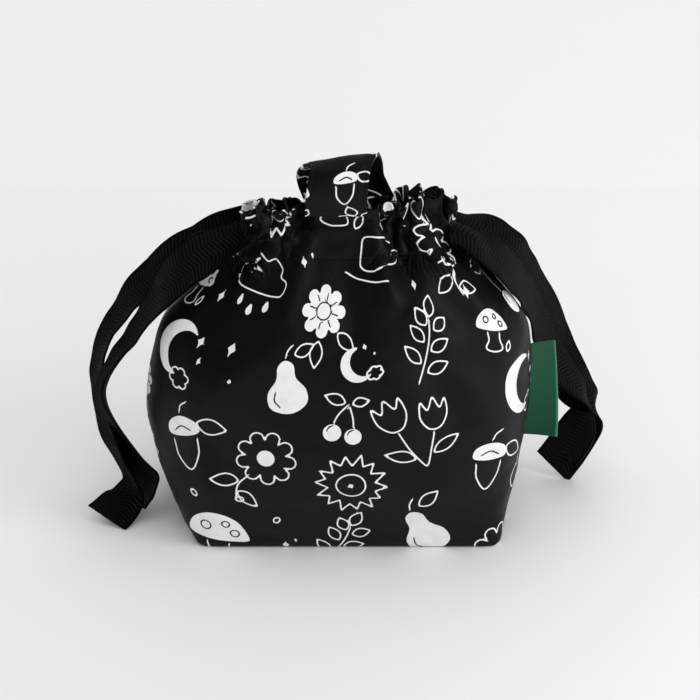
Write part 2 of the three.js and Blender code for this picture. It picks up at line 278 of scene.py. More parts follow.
def cotton(name, printed):
    """Black plain-weave cotton: warp and weft threads, slubs, a little lint, and the screen print's ink over it."""
    m, nt, bsdf = material(name)
    N = Nodes(nt)
    uv = N.uv()
    u, v, _ = N.xyz(uv)
    # threads 0.42 mm apart, over and under each other
    pu = N.math("MULTIPLY", u, 2 * math.pi / 0.84)
    pv = N.math("MULTIPLY", v, 2 * math.pi / 0.84)
    over = N.math("MULTIPLY", N.math("SINE", pu), N.math("SINE", pv))
    warp = N.math("ABSOLUTE", N.math("SINE", pu))
    weft = N.math("ABSOLUTE", N.math("SINE", pv))
    side = N.math("GREATER_THAN", over, 0.0)
    weave = N.math("ADD", N.math("MULTIPLY", side, warp), N.math("MULTIPLY", N.math("SUBTRACT", 1.0, side), weft))
    # slubs: thicker threads here and there
    comb = N.new("ShaderNodeCombineXYZ")
    N.put(comb.inputs[0], N.math("MULTIPLY", u, 1.6))
    N.put(comb.inputs[1], N.math("MULTIPLY", v, 0.05))
    slub = N.noise(comb.outputs[0], 1.0, 2.0)
    comb2 = N.new("ShaderNodeCombineXYZ")
    N.put(comb2.inputs[0], N.math("MULTIPLY", u, 0.05))
    N.put(comb2.inputs[1], N.math("MULTIPLY", v, 1.6))
    slub2 = N.noise(comb2.outputs[0], 1.0, 2.0)
    fine = N.noise(uv, 3.0, 3.0)
    wide = N.noise(uv, 0.02, 3.0)
    tone = N.math("ADD", N.math("MULTIPLY", N.math("ADD", slub, slub2), 0.35), N.math("MULTIPLY", wide, 0.3))
    cloth = N.mix(N.ramp(tone, 0.35, 0.72), (0.0012, 0.0012, 0.0015, 1), (0.0032, 0.0031, 0.0040, 1))
    cloth = N.mix(N.math("MULTIPLY", weave, 0.22), cloth, (0.0085, 0.0082, 0.0115, 1))
    # lint: a few pale specks
    speck = N.ramp(N.noise(uv, 0.9, 1.0, 0.4), 0.795, 0.83)
    cloth = N.mix(N.math("MULTIPLY", speck, 0.5), cloth, (0.12, 0.12, 0.13, 1))
    height = N.math("ADD", N.math("MULTIPLY", weave, 0.6), N.math("MULTIPLY", fine, 0.5))
    rough = N.ramp(fine, 0.3, 0.7, 0.42, 0.54)
    if printed:
        wob = N.math("MULTIPLY", N.math("SUBTRACT", N.noise(uv, 1.1, 2.0), 0.5), 0.35)

        def stroke(k, half):
            a = N.math("ABSOLUTE", N.attr(f"ink_{k}a"))
            line = N.ramp(N.math("ADD", a, wob), half - 0.07, half + 0.07, 1.0, 0.0, "LINEAR")
            near = N.ramp(N.attr(f"ink_{k}u"), 1.0, 1.12, 1.0, 0.0, "LINEAR")
            return N.math("MULTIPLY", line, near)

        fill = N.ramp(N.math("ADD", N.attr("ink_f"), wob), -0.07, 0.07, 1.0, 0.0, "LINEAR")
        dark = stroke("d", 0.42)
        fill = N.math("MULTIPLY", fill, N.math("SUBTRACT", 1.0, dark))
        ink = N.math("MAXIMUM", N.math("MAXIMUM", stroke("p", 0.43), stroke("q", 0.43)), fill)
        # where the ink sits thinner on the threads
        worn = N.ramp(N.math("ADD", N.math("MULTIPLY", fine, 0.55), N.math("MULTIPLY", weave, 0.25)), 0.25, 0.5, 0.93, 1.0)
        ink = N.math("MULTIPLY", ink, worn)
        shade = N.mix(N.ramp(N.noise(uv, 0.15, 3.0), 0.3, 0.7), (0.86, 0.86, 0.865, 1), (0.93, 0.93, 0.93, 1))
        cloth = N.mix(ink, cloth, shade)
        rough = N.math("SUBTRACT", rough, N.math("MULTIPLY", ink, 0.22))
        height = N.math("ADD", height, N.math("MULTIPLY", ink, 0.35))
    N.put(bsdf.inputs["Base Color"], cloth)
    N.put(bsdf.inputs["Roughness"], rough)
    bsdf.inputs["Sheen Weight"].default_value = 0.03
    bsdf.inputs["Sheen Roughness"].default_value = 0.3
    bsdf.inputs["Sheen Tint"].default_value = (0.82, 0.84, 1.0, 1)
    bsdf.inputs["Specular IOR Level"].default_value = 0.22
    bsdf.inputs["Specular Tint"].default_value = (0.84, 0.86, 1.0, 1)
    N.put(bsdf.inputs["Normal"], N.bump(height, 0.35, 0.00012))
    return m


def herringbone():
    """Black cotton tape in herringbone twill: three columns of ribs across 25 mm, each leaning against the next."""
    m, nt, bsdf = material("herringbone_tape")
    N = Nodes(nt)
    uv = N.uv()
    u, v, _ = N.xyz(uv)
    wob = N.math("MULTIPLY", N.math("SUBTRACT", N.noise(uv, 0.5, 2.0), 0.5), 0.45)
    column = 25.0 / 3
    zig = N.math("PINGPONG", u, column)
    rib_at = N.math("ADD", N.math("ADD", v, N.math("MULTIPLY", zig, 0.40)), wob)
    wave = N.math("ADD", N.math("MULTIPLY", N.math("SINE", N.math("MULTIPLY", rib_at, 2 * math.pi / 2.35)), 0.5), 0.5)
    rib = N.ramp(wave, 0.18, 0.82)
    # the warp threads that make up a rib
    thread = N.math("ADD", N.math("MULTIPLY", N.math("SINE", N.math("MULTIPLY", u, 2 * math.pi / 0.62)), 0.5), 0.5)
    # a plain narrow selvage at both edges, and the lines where the columns turn
    edge = N.ramp(N.math("SUBTRACT", 12.5, N.math("ABSOLUTE", N.math("SUBTRACT", u, 12.5))), 0.9, 1.7)
    turn = N.ramp(N.math("MINIMUM", zig, N.math("SUBTRACT", column, zig)), 0.0, 0.55, 0.45, 1.0)
    fine = N.noise(uv, 2.2, 3.0)
    rib = N.math("MULTIPLY", N.math("MULTIPLY", rib, edge), turn)
    height = N.math("ADD", N.math("MULTIPLY", rib, 1.0), N.math("ADD", N.math("MULTIPLY", thread, 0.22), N.math("MULTIPLY", fine, 0.25)))
    wide = N.noise(uv, 0.05, 2.0)
    # painted highlight: the rib crowns are coloured much lighter than the grooves, standing in for the light the ribs
    # catch
    colour = N.mix(N.math("MULTIPLY", rib, N.ramp(wide, 0.3, 0.7, 0.7, 1.0)), (0.0006, 0.0006, 0.0007, 1), (0.0088, 0.0087, 0.0095, 1))
    speck = N.ramp(N.noise(uv, 0.8, 1.0, 0.4), 0.80, 0.83)
    colour = N.mix(N.math("MULTIPLY", speck, 0.3), colour, (0.08, 0.08, 0.085, 1))
    N.put(bsdf.inputs["Base Color"], colour)
    N.put(bsdf.inputs["Roughness"], N.ramp(fine, 0.3, 0.7, 0.58, 0.72))
    bsdf.inputs["Sheen Weight"].default_value = 0.0
    bsdf.inputs["Specular IOR Level"].default_value = 0.12
    bsdf.inputs["Specular Tint"].default_value = (0.82, 0.86, 1.0, 1)
    N.put(bsdf.inputs["Normal"], N.bump(height, 0.9, 0.00042))
    return m


def ribbon_green():
    """Dark green woven ribbon with fine cross ribs, left bare."""
    m, nt, bsdf = material("green_ribbon")
    N = Nodes(nt)
    uv = N.uv()
    u, v, _ = N.xyz(uv)
    rib = N.math("ADD", N.math("MULTIPLY", N.math("SINE", N.math("MULTIPLY", v, 2 * math.pi / 0.55)), 0.5), 0.5)
    cross = N.math("ADD", N.math("MULTIPLY", N.math("SINE", N.math("MULTIPLY", u, 2 * math.pi / 0.4)), 0.5), 0.5)
    fine = N.noise(uv, 1.8, 3.0)
    wide = N.noise(uv, 0.12, 2.0)
    t = N.math("ADD", N.math("MULTIPLY", rib, 0.4), N.math("ADD", N.math("MULTIPLY", fine, 0.3), N.math("MULTIPLY", wide, 0.3)))
    colour = N.mix(N.ramp(t, 0.25, 0.8), (0.0022, 0.058, 0.024, 1), (0.0046, 0.094, 0.041, 1))
    # painted highlight: the colour is made lighter along the fold, where the threads lie open and catch more light
    fold = N.ramp(u, 14.6, 15.8)
    colour = N.mix(N.math("MULTIPLY", fold, 0.55), colour, (0.05, 0.33, 0.14, 1))
    N.put(bsdf.inputs["Base Color"], colour)
    N.put(bsdf.inputs["Roughness"], N.ramp(fine, 0.3, 0.7, 0.5, 0.66))
    bsdf.inputs["Sheen Weight"].default_value = 0.05
    bsdf.inputs["Specular IOR Level"].default_value = 0.25
    height = N.math("ADD", rib, N.math("MULTIPLY", cross, 0.4))
    N.put(bsdf.inputs["Normal"], N.bump(height, 0.45, 0.00012))
    return m


def thread_black():
    m, nt, bsdf = material("sewing_thread")
    N = Nodes(nt)
    tc = N.new("ShaderNodeTexCoord")
    ply = N.new("ShaderNodeTexWave", wave_type="BANDS", bands_direction="DIAGONAL")
    N.put(ply.inputs["Vector"], tc.outputs["Object"])
    ply.inputs["Scale"].default_value = 1800
    colour = N.mix(ply.outputs["Fac"], (0.004, 0.004, 0.0045, 1), (0.012, 0.012, 0.013, 1))
    N.put(bsdf.inputs["Base Color"], colour)
    bsdf.inputs["Roughness"].default_value = 0.6
    bsdf.inputs["Specular IOR Level"].default_value = 0.1
    N.put(bsdf.inputs["Normal"], N.bump(ply.outputs["Fac"], 0.4, 0.0001))
    return m


PRINTED = cotton("printed_cotton", True)
PLAIN = cotton("lining_cotton", False)
TAPE = herringbone()
GREEN = ribbon_green()
THREAD = thread_black()

# ------------------------------------------------------------------ tapes (free cords), first
TAPE_WIDE, TAPE_THICK = 25.0, 1.15
LEFT_BACK = [(-55.2, 11, 170.8, -0.35, 0.65, 0.68, 6.3), (-63.7, 12.6, 165, -0.33, 0.68, 0.65, 8.5), (-72.8, 14.1, 159.5, -0.32, 0.72, 0.62, 11), (-82.3, 15.5, 152.7, -0.31, 0.75, 0.59, 12.5), (-92, 16.9, 147.1, -0.32, 0.76, 0.56, 12.5), (-101.5, 18.1, 139.2, -0.33, 0.8, 0.5, 12.5), (-109.8, 19.1, 130.7, -0.32, 0.86, 0.4, 12.5), (-118, 19.5, 122.3, -0.29, 0.92, 0.26, 12.1), (-124.7, 19.4, 113.8, -0.27, 0.96, 0.11, 12.1), (-130.6, 18.4, 104.4, -0.28, 0.96, 0.01, 12.1), (-136, 16.8, 94.8, -0.28, 0.96, -0.07, 12.1), (-139.7, 14.8, 84.4, -0.29, 0.95, -0.15, 12.1), (-141.3, 12.5, 74.7, -0.31, 0.93, -0.21, 12.1), (-140.9, 10.3, 65.1, -0.32, 0.91, -0.26, 12.1), (-139.2, 8, 56.1, -0.32, 0.89, -0.32, 12.1), (-137.2, 5.4, 47.7, -0.38, 0.84, -0.4, 12.1), (-134.7, 2.5, 40.2, -0.35, 0.79, -0.49, 12.1), (-131.2, -0.7, 33.6, -0.28, 0.77, -0.57, 12.1), (-127.4, -3.9, 28, -0.21, 0.78, -0.59, 12.1), (-124.1, -7, 22.9, -0.19, 0.8, -0.57, 12.1), (-122.3, -9.8, 18.1, -0.34, 0.79, -0.51, 12.1), (-123.7, -12.3, 14, -0.62, 0.71, -0.34, 12.5), (-125.4, -15.5, 10.6, -0.84, 0.54, -0.06, 12.5), (-129.2, -20.3, 8, -0.88, 0.43, 0.22, 12.5), (-133.2, -26.9, 6.1, -0.83, 0.37, 0.42, 12.5), (-135.9, -30.6, 5.4, -0.83, 0.37, 0.42, 12.5)]
LEFT_FRONT = [(-58, -11.9, 172.5, -0.46, 0.36, 0.81, 6.8), (-65.6, -11.7, 168.1, -0.47, 0.45, 0.76, 8.5), (-73.9, -11.7, 163.2, -0.47, 0.53, 0.7, 11), (-83, -11.4, 157.5, -0.46, 0.64, 0.62, 12.5), (-90.7, -10.8, 151.3, -0.46, 0.73, 0.51, 12.5), (-98, -10.1, 142.4, -0.38, 0.86, 0.34, 12.5), (-104.4, -9.4, 132.5, -0.27, 0.94, 0.21, 12.5), (-110.8, -9.1, 122.1, -0.19, 0.97, 0.12, 12.1), (-116.9, -9.1, 111.9, -0.12, 0.99, 0.05, 12.1), (-123.6, -9.4, 102.1, -0.07, 1, -0, 12.1), (-129.7, -9.6, 93.3, -0.05, 1, -0.01, 12.1), (-134.3, -9.7, 84.9, -0.07, 1, -0, 12.1), (-137.2, -9.9, 76.7, -0.16, 0.99, -0.01, 12.1), (-137.3, -10, 68.5, -0.36, 0.93, -0.05, 12.1), (-135.4, -9.9, 60.2, -0.5, 0.86, -0.1, 12.1), (-132.2, -9.3, 52.1, -0.57, 0.8, -0.17, 12.1), (-128.4, -8.2, 44.7, -0.57, 0.79, -0.23, 12.1), (-124.2, -7.2, 37.7, -0.53, 0.81, -0.25, 12.1), (-120.1, -6.7, 31.1, -0.53, 0.8, -0.28, 12.1), (-116.2, -6.7, 25.2, -0.58, 0.74, -0.34, 12.1), (-113.2, -7.3, 20.1, -0.61, 0.7, -0.38, 12.1), (-113.6, -9.2, 15.3, -0.53, 0.76, -0.39, 12.1), (-114.3, -11.7, 11.3, -0.43, 0.82, -0.38, 12.5), (-117.1, -14.1, 7.6, -0.34, 0.88, -0.34, 12.5), (-119.5, -16, 4.4, -0.28, 0.91, -0.3, 12.5)]
RIGHT_FRONT = [(54.7, -10.2, 173.3, 0.13, 0.98, 0.17, 6.5), (60.5, -10.8, 172.3, 0.09, 0.99, 0.11, 8), (65.7, -10.9, 169.8, 0.05, 0.99, 0.14, 10), (70.6, -10.4, 165.8, 0.05, 0.97, 0.25, 12), (75.6, -8.9, 160.7, 0.06, 0.92, 0.4, 12.5), (81, -6.2, 154.9, 0.06, 0.88, 0.48, 12.5), (86.3, -2.5, 148, 0.07, 0.86, 0.5, 12.5), (91.5, 2.7, 139.5, 0.08, 0.88, 0.47, 12.5), (96.3, 8.5, 129.7, 0.11, 0.9, 0.43, 12.5), (100.9, 14.1, 118.6, 0.16, 0.91, 0.38, 12.5), (105, 19, 106.6, 0.25, 0.91, 0.34, 12.5), (109, 22.6, 94.9, 0.34, 0.88, 0.33, 12.5), (113.3, 25, 84, 0.4, 0.86, 0.33, 12.5), (118.1, 26.2, 74.5, 0.39, 0.87, 0.3, 12.5), (122.8, 26.1, 66.9, 0.33, 0.91, 0.24, 12.5), (127.9, 25, 60.8, 0.23, 0.96, 0.16, 12.5), (132.3, 24.1, 55.4, 0.07, 1, 0.05, 12.5), (134.6, 23.4, 50, -0.14, 0.99, 0.02, 12.5), (134.5, 23, 44, -0.32, 0.94, 0.1, 12.5), (132.5, 22.9, 37.8, -0.48, 0.85, 0.24, 12.5), (129.5, 23.4, 31.1, -0.57, 0.75, 0.34, 12.5), (125.9, 23.9, 24.3, -0.57, 0.73, 0.37, 12.5), (122.1, 24.5, 17.3, -0.51, 0.79, 0.36, 12.5)]
RIGHT_BACK = [(55.2, 10.5, 170.3, 0.14, 0.87, 0.47, 6.5), (60.9, 11.3, 167.2, 0.15, 0.85, 0.5, 8), (66.7, 12, 164.5, 0.18, 0.81, 0.56, 10), (72.7, 12.6, 161.4, 0.24, 0.78, 0.58, 12), (78.7, 13.4, 157.6, 0.3, 0.76, 0.57, 12.5), (84.4, 14.4, 152.8, 0.35, 0.75, 0.56, 12.5), (89.8, 16.1, 147.1, 0.42, 0.73, 0.53, 12.5), (94.3, 19.2, 139.1, 0.42, 0.79, 0.45, 12.5), (98.6, 22.9, 129.8, 0.41, 0.82, 0.4, 12.5), (103.3, 26.5, 119.3, 0.45, 0.81, 0.38, 12.5), (108.1, 29.9, 108.3, 0.53, 0.77, 0.35, 12.5), (112.1, 32.2, 96.7, 0.6, 0.74, 0.31, 12.5), (115.4, 33.7, 84.8, 0.67, 0.69, 0.28, 12.5), (118.9, 34.9, 73.1, 0.74, 0.6, 0.31, 12.5), (123.1, 35.4, 62.7, 0.77, 0.51, 0.37, 12.5), (127.9, 34.8, 54.4, 0.67, 0.62, 0.4, 12.5), (133.3, 33.6, 48.7, 0.44, 0.85, 0.28, 12.5), (138, 32.1, 45.2, 0.24, 0.96, 0.15, 12.5), (140, 31.6, 42.1, -0.05, 0.99, 0.1, 12.5), (139.1, 31.6, 38.8, -0.33, 0.92, 0.2, 12.5), (136, 31.7, 34.4, -0.53, 0.78, 0.34, 12.5), (131.8, 31.5, 28.9, -0.69, 0.58, 0.43, 12.5), (127.7, 30.9, 22.3, -0.77, 0.45, 0.45, 12.5), (123.3, 30, 15, -0.77, 0.44, 0.47, 12.5), (118.1, 29.1, 7.8, -0.73, 0.48, 0.48, 12.5), (116.6, 28.8, 5.7, -0.73, 0.48, 0.48, 12.5)]


def route(keys, step=1.25):
    """Smooth curve through the keys, resampled every step: points and width directions."""
    k = np.array(keys, float)
    d = np.concatenate([[0], np.cumsum(np.linalg.norm(np.diff(k[:, :3], axis=0), axis=1))])
    h = np.diff(d)
    sl = np.zeros_like(k)
    sec = np.diff(k, axis=0) / h[:, None]
    sl[0], sl[-1] = sec[0], sec[-1]
    sl[1:-1] = (sec[:-1] * h[1:, None] + sec[1:] * h[:-1, None]) / (h[:-1] + h[1:])[:, None]
    out = []
    for i in range(len(k) - 1):
        t = np.linspace(0, 1, 24, endpoint=False)[:, None]
        out.append((2 * t**3 - 3 * t**2 + 1) * k[i] + (t**3 - 2 * t**2 + t) * h[i] * sl[i] + (3 * t**2 - 2 * t**3) * k[i + 1] + (t**3 - t**2) * h[i] * sl[i + 1])
    out.append(k[-1:])
    c = np.concatenate(out)
    s = np.concatenate([[0], np.cumsum(np.linalg.norm(np.diff(c[:, :3], axis=0), axis=1))])
    n = int(round(s[-1] / step))
    at = np.linspace(0, s[-1], n + 1)
    r = np.stack([np.interp(at, s, c[:, j]) for j in range(7)], -1)
    for _ in range(6):  # rounds the corners that the keys leave
        r[1:-1] = 0.25 * r[:-2] + 0.5 * r[1:-1] + 0.25 * r[2:]
    s = np.concatenate([[0], np.cumsum(np.linalg.norm(np.diff(r[:, :3], axis=0), axis=1))])
    return r[:, :3], r[:, 3:6], s, r[:, 6]


def strand(name, keys, seed, cut=(0.0, 0.0)):
    """One free end of a tape: a flat woven strip, curled across where it leaves the casing and opening out below it."""
    c, w, s, half = route(keys)
    t = np.gradient(c, axis=0)
    t /= np.linalg.norm(t, axis=1, keepdims=True)
    w = w - (w * t).sum(1, keepdims=True) * t
    w /= np.linalg.norm(w, axis=1, keepdims=True)
    n = np.cross(t, w)
    cols = 31
    across = np.linspace(-0.5, 0.5, cols)
    # the curl across that makes the tape look this narrow
    angle = np.linspace(0.02, 4.2, 200)
    seen = TAPE_WIDE / angle * np.sin(angle / 2)
    curl = np.interp(-half, -seen, angle) + 0.10 * np.clip((half - 11) / 1.5, 0, 1) * (1 + noise1(s, 30, seed))
    curl = np.where(np.abs(curl) < 0.02, 0.02, curl)
    p = np.zeros((cols, len(s), 3))
    r = TAPE_WIDE / curl
    ang = across[:, None] * curl[None, :]
    x = r * np.sin(ang)
    y = r * (np.cos(ang) - 1)
    y = y - y.mean(0)
    edge = 0.35 * noise1(s, 9, seed + 1)[None, :] * (2 * across[:, None]) ** 3 + 0.3 * noise1(s, 12, seed + 2)[None, :] * (2 * across[:, None]) ** 2
    y = y + edge
    p = c[None] + x[..., None] * w[None] + y[..., None] * n[None]
    low = 0.75
    p[..., 2] = np.where(p[..., 2] < low, low + 0.02 * (p[..., 2] - low), p[..., 2])
    # the cut end is a little askew
    tail = np.clip((s - (s[-1] - 14)) / 14, 0, 1) ** 2
    skew = (cut[0] + cut[1] * 2 * across[:, None]) * tail[None, :]
    p += skew[..., None] * t[None]
    u = (across + 0.5) * TAPE_WIDE
    st = np.stack(np.broadcast_arrays(u[:, None], s[None, :]), -1).astype(float)
    thick = TAPE_THICK * (0.86 + 0.22 * np.clip(1 - (12.5 - np.abs(u - 12.5)) / 1.3, 0, 1))[:, None] * np.ones(len(s))
    ob = sheet_solid(name, p, thick, TAPE, st, centred=True)
    return ob, c, s, p


def declare(ob, c, s, nodes, body):
    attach(ob, body)
    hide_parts(*nodes)
    path = c[::3] * 0.001
    if not np.allclose(path[-1], c[-1] * 0.001):
        path = np.concatenate([path, c[-1:] * 0.001])


strands = {}
for name, keys, seed, body, cut in (
    ("left_tape_front_strand", LEFT_FRONT, 11, "left_tape", (0, 1.0)),
    ("left_tape_back_strand", LEFT_BACK, 12, "left_tape", (0.2, 1.6)),
    ("right_tape_front_strand", RIGHT_FRONT, 13, "right_tape", (0, 0.8)),
    ("right_tape_back_strand", RIGHT_BACK, 14, "right_tape", (0.6, -1.0)),
):
    ob, c, s, p = strand(name + "_cloth", keys, seed, cut=cut)
    declare(ob, c, s, [name], body)
    strands[name] = (ob, c, s, p)

# ------------------------------------------------------------------ the pouch's own cloth
W = 273.0
ROWS = np.array([
    # z, left x, right x, front depth, back depth, squareness
    [0, -84.3, 83.1, 54.3, 53, 24], [5, -88.4, 85.4, 56.3, 55.5, 12], [12, -92.8, 87.5, 58.4, 58, 7.5], [25, -100.0, 90.7, 61.5, 61.5, 4.6],
    [40, -107.2, 94.9, 64.5, 64, 3.2], [54, -111.6, 99.0, 66, 65.5, 2.6], [80, -112.2, 100.8, 65, 64.5, 2.4],
    [98, -109, 100.9, 61.5, 61, 2.3], [118, -103.4, 97.2, 54.5, 54, 2.25], [130, -95.8, 90.3, 48.8, 48.3, 2.2],
    [141, -86.4, 82.4, 42.3, 42.3, 2.2], [151, -77.5, 75, 34.8, 34.6, 2.2], [161, -68, 65.6, 25.5, 25, 2.2],
    [168, -62.3, 59.6, 19.5, 18.2, 2.2], [178, -58.5, 55.8, 16.2, 14, 2.2], [196, -58, 54.6, 15.5, 12.8, 2.2],
])
TILT_X = [-62, -56, -47, -35, -20, 0, 15, 25, 36, 46, 54, 60]
TILT_F = [-11.0, -7, -2.8, -0.7, -0.5, 0, 0, 0.8, 2.4, 4.2, 2.8, 0.6]
TILT_B = [-10.0, -8.0, -5.8, -8.6, -9.0, -6.4, -5.4, -4.4, -1.0, 0.4, -3.8, -7.4]


def row_values(z):
    k = ROWS
    h = np.diff(k[:, 0])
    sec = np.diff(k, axis=0) / h[:, None]
    sl = np.zeros_like(k)
    sl[0], sl[-1] = sec[0], sec[-1]
    sl[1:-1] = (sec[:-1] * h[1:, None] + sec[1:] * h[:-1, None]) / (h[:-1] + h[1:])[:, None]
    z = np.asarray(z, float)
    i = np.clip(np.searchsorted(k[:, 0], z, side="right") - 1, 0, len(k) - 2)
    t = ((z - k[i, 0]) / h[i])[:, None]
    return ((2 * t**3 - 3 * t**2 + 1) * k[i] + (t**3 - 2 * t**2 + t) * h[i][:, None] * sl[i] + (3 * t**2 - 2 * t**3) * k[i + 1] + (t**3 - t**2) * h[i][:, None] * sl[i + 1])[:, 1:]


_z = np.linspace(0, 196, 1961)
_r = row_values(_z)
# the cloth's own height, measured half way between the front's middle and the side
_mf = np.concatenate([[0], np.cumsum(np.hypot(np.diff(_z), np.diff(_r[:, 2])))])
_ms = np.concatenate([[0], np.cumsum(np.hypot(np.diff(_z), np.diff(_r[:, 1])))])
_m = 0.5 * (_mf + _ms)
Z_LOW, Z_HIGH = 161.3, 181.0
T_LOW = float(np.interp(Z_LOW, _z, _m))
T_HIGH = T_LOW + 21.0
T_TOP = T_HIGH + 8.0
STRAP = {"front": (-24.8, 9.8), "back": (-13.5, 18.5)}
rng = np.random.default_rng(3)
# arranged widths of the puffs from the strap outwards, and how deep each tuck between two of them goes
PUFFS = {
    ("front", "left"): ([6.5, 4.2, 8.6, 8.2, 6.2, 6.0], [0.55, 0.5, 0.9, 1.3, 2.8]),
    ("front", "right"): ([5.5, 4.5, 4.8, 7.0, 7.6, 10.5, 7.0], [0.9, 0.6, 0.9, 1.5, 1.5, 1.9]),
    ("back", "left"): (list(rng.uniform(5, 9.5, 6)), list(rng.uniform(0.6, 1.6, 5))),
    ("back", "right"): (list(rng.uniform(5, 9.5, 5)), list(rng.uniform(0.6, 1.6, 4))),
}


def lens(side, z):
    """Plan line of the collar at a height, left to right: points and lengths."""
    left, right, front, back, n = row_values(np.array([z]))[0]
    b = front if side == "front" else back
    th = np.linspace(0, math.pi, 1601)
    cx, a = (left + right) / 2, (right - left) / 2
    e = 4.5
    x = cx - a * np.sign(np.cos(th)) * np.abs(np.cos(th)) ** (2 / n)
    y = e + (b - e) * np.abs(np.sin(th)) ** (2 / n)
    y = np.where(np.abs(x - cx) > a * 0.995, e, y)
    y *= -1 if side == "front" else 1
    d = np.concatenate([[0], np.cumsum(np.hypot(np.diff(x), np.diff(y)))])
    return x, y, d


def pinned_row(side, z, s, puffed, seed):
    """Plan positions of the flat coordinates s along a stitch line at height z, gathered into puffs with tucks between."""
    x, y, d = lens(side, z)
    rng = np.random.default_rng(seed)
    x0, x1 = STRAP[side]
    d0, d1 = np.interp([x0, x1], x, d)
    mid = 0.5 * (x0 + x1) * 1.05
    s0, s1 = mid - (d1 - d0) / 2 * 1.04, mid + (d1 - d0) / 2 * 1.04
    sig = np.zeros(len(s))
    off = np.zeros(len(s))
    inside = (s >= s0) & (s <= s1)
    sig[inside] = d0 + (s[inside] - s0) / (s1 - s0) * (d1 - d0)
    rp = np.random.default_rng(77 if side == "front" else 78)
    for part in ("left", "right"):
        w, depth = (np.array(v_) for v_ in PUFFS[side, part])
        room = d0 if part == "left" else d[-1] - d1
        w = w / w.sum() * room
        flat = (s0 + W / 2) if part == "left" else (W / 2 - s1)
        high = rp.uniform(0.14, 0.26, len(w))
        tau = np.linspace(0, 1, 41)
        lean = rp.uniform(-0.12, 0.12, len(w))
        arcs = []
        for k in range(len(w)):
            rise = high[k] * w[k] * puffed * np.sin(math.pi * tau ** (1 + lean[k])) ** 0.8
            arcs.append((rise, np.concatenate([[0], np.cumsum(np.hypot(np.diff(tau * w[k]), np.diff(rise)))])))
        spare = (flat - sum(a_[1][-1] for a_ in arcs)) / 2
        depth = np.concatenate([[0.0], depth / depth.sum() * max(spare, 0), [0.0]])
        lam = np.array([depth[k] + arcs[k][1][-1] + depth[k + 1] for k in range(len(w))])
        lam = lam / lam.sum() * flat
        ca, cf = 0.0, 0.0
        for k in range(len(w)):
            rise, arc = arcs[k]
            first, last = depth[k], depth[k + 1]
            lo, hi = cf, cf + lam[k]
            m = s - s1 if part == "right" else s0 - s
            sel = (m > lo) & (m <= hi)
            q = m[sel] - lo
            o = np.zeros(len(q))
            g = np.zeros(len(q))
            a_ = q < first
            b_ = q > lam[k] - last
            c_ = ~a_ & ~b_
            o[a_] = -(first - q[a_])
            g[a_] = 0.25
            o[b_] = -(q[b_] - (lam[k] - last))
            g[b_] = w[k] - 0.25
            qa = (q[c_] - first) / max(1e-6, lam[k] - first - last) * arc[-1]
            g[c_] = np.interp(qa, arc, tau * w[k])
            o[c_] = np.interp(qa, arc, rise)
            pos = ca + g
            sig[sel] = d1 + pos if part == "right" else d0 - pos
            off[sel] = o
            ca += w[k]
            cf += lam[k]
    X = np.interp(sig, d, x)
    Y = np.interp(sig, d, y)
    tx = np.interp(sig + 0.8, d, x) - np.interp(sig - 0.8, d, x)
    ty = np.interp(sig + 0.8, d, y) - np.interp(sig - 0.8, d, y)
    ln = np.hypot(tx, ty) + 1e-9
    nx, ny = (ty / ln, -tx / ln) if side == "front" else (-ty / ln, tx / ln)
    return X + nx * off, Y + ny * off, off


def tilt(side, x):
    return np.interp(x, TILT_X, TILT_F if side == "front" else TILT_B)


def tube(ns, dt):
    """Start: flat coordinates and positions of the closed tube of cloth. Columns go round from the left seam by the front."""
    half = ns // 2
    q = np.arange(ns) * (2 * W / ns)
    nt = int(round(T_TOP / dt)) + 1
    t = np.arange(nt) * (T_TOP / (nt - 1))
    X = np.zeros((ns, nt, 3))
    cols = {"front": np.arange(0, half + 1), "back": np.arange(half, ns)}
    for side, c in cols.items():
        s = q[c] - W / 2 if side == "front" else W / 2 - (q[c] - W)
        z = np.interp(t, _m, _z)
        pin_lo = pinned_row(side, Z_LOW, s, 1.0, 1)
        for j in range(nt):
            zz = z[j]
            zr = min(zz, Z_LOW)
            left, right, front, back, n = row_values(np.array([zr]))[0]
            b = front if side == "front" else back
            cx, a = (left + right) / 2, (right - left) / 2
            th = np.linspace(0, math.pi, 1201)
            e = 4.5 * smooth(150, Z_LOW, zr)
            x = cx - a * np.sign(np.cos(th)) * np.abs(np.cos(th)) ** (2 / n)
            y = (e + (b - e) * np.abs(np.sin(th)) ** (2 / n)) * (-1 if side == "front" else 1)
            d = np.concatenate([[0], np.cumsum(np.hypot(np.diff(x), np.diff(y)))])
            P = np.stack([np.interp((s / W + 0.5) * d[-1], d, x), np.interp((s / W + 0.5) * d[-1], d, y)], -1)
            G = np.stack(pin_lo[:2], -1)
            # gathered plan scaled out to this row
            ctr = np.array([cx, 0])
            lx, ly = row_values(np.array([Z_LOW]))[0][[1, 2 if side == "front" else 3]]
            S = np.stack([(G[:, 0] + 1.0) * (a / ((row_values(np.array([Z_LOW]))[0][1] - row_values(np.array([Z_LOW]))[0][0]) / 2)) + cx, G[:, 1] * b / ly], -1)
            w = smooth(92, Z_LOW + 3, zz) ** 1.4
            X[c, j, :2] = (1 - w) * P + w * S
            X[c, j, 2] = zz + tilt(side, X[c, j, 0]) * smooth(105, Z_LOW, zz)
    return q, t, X, cols


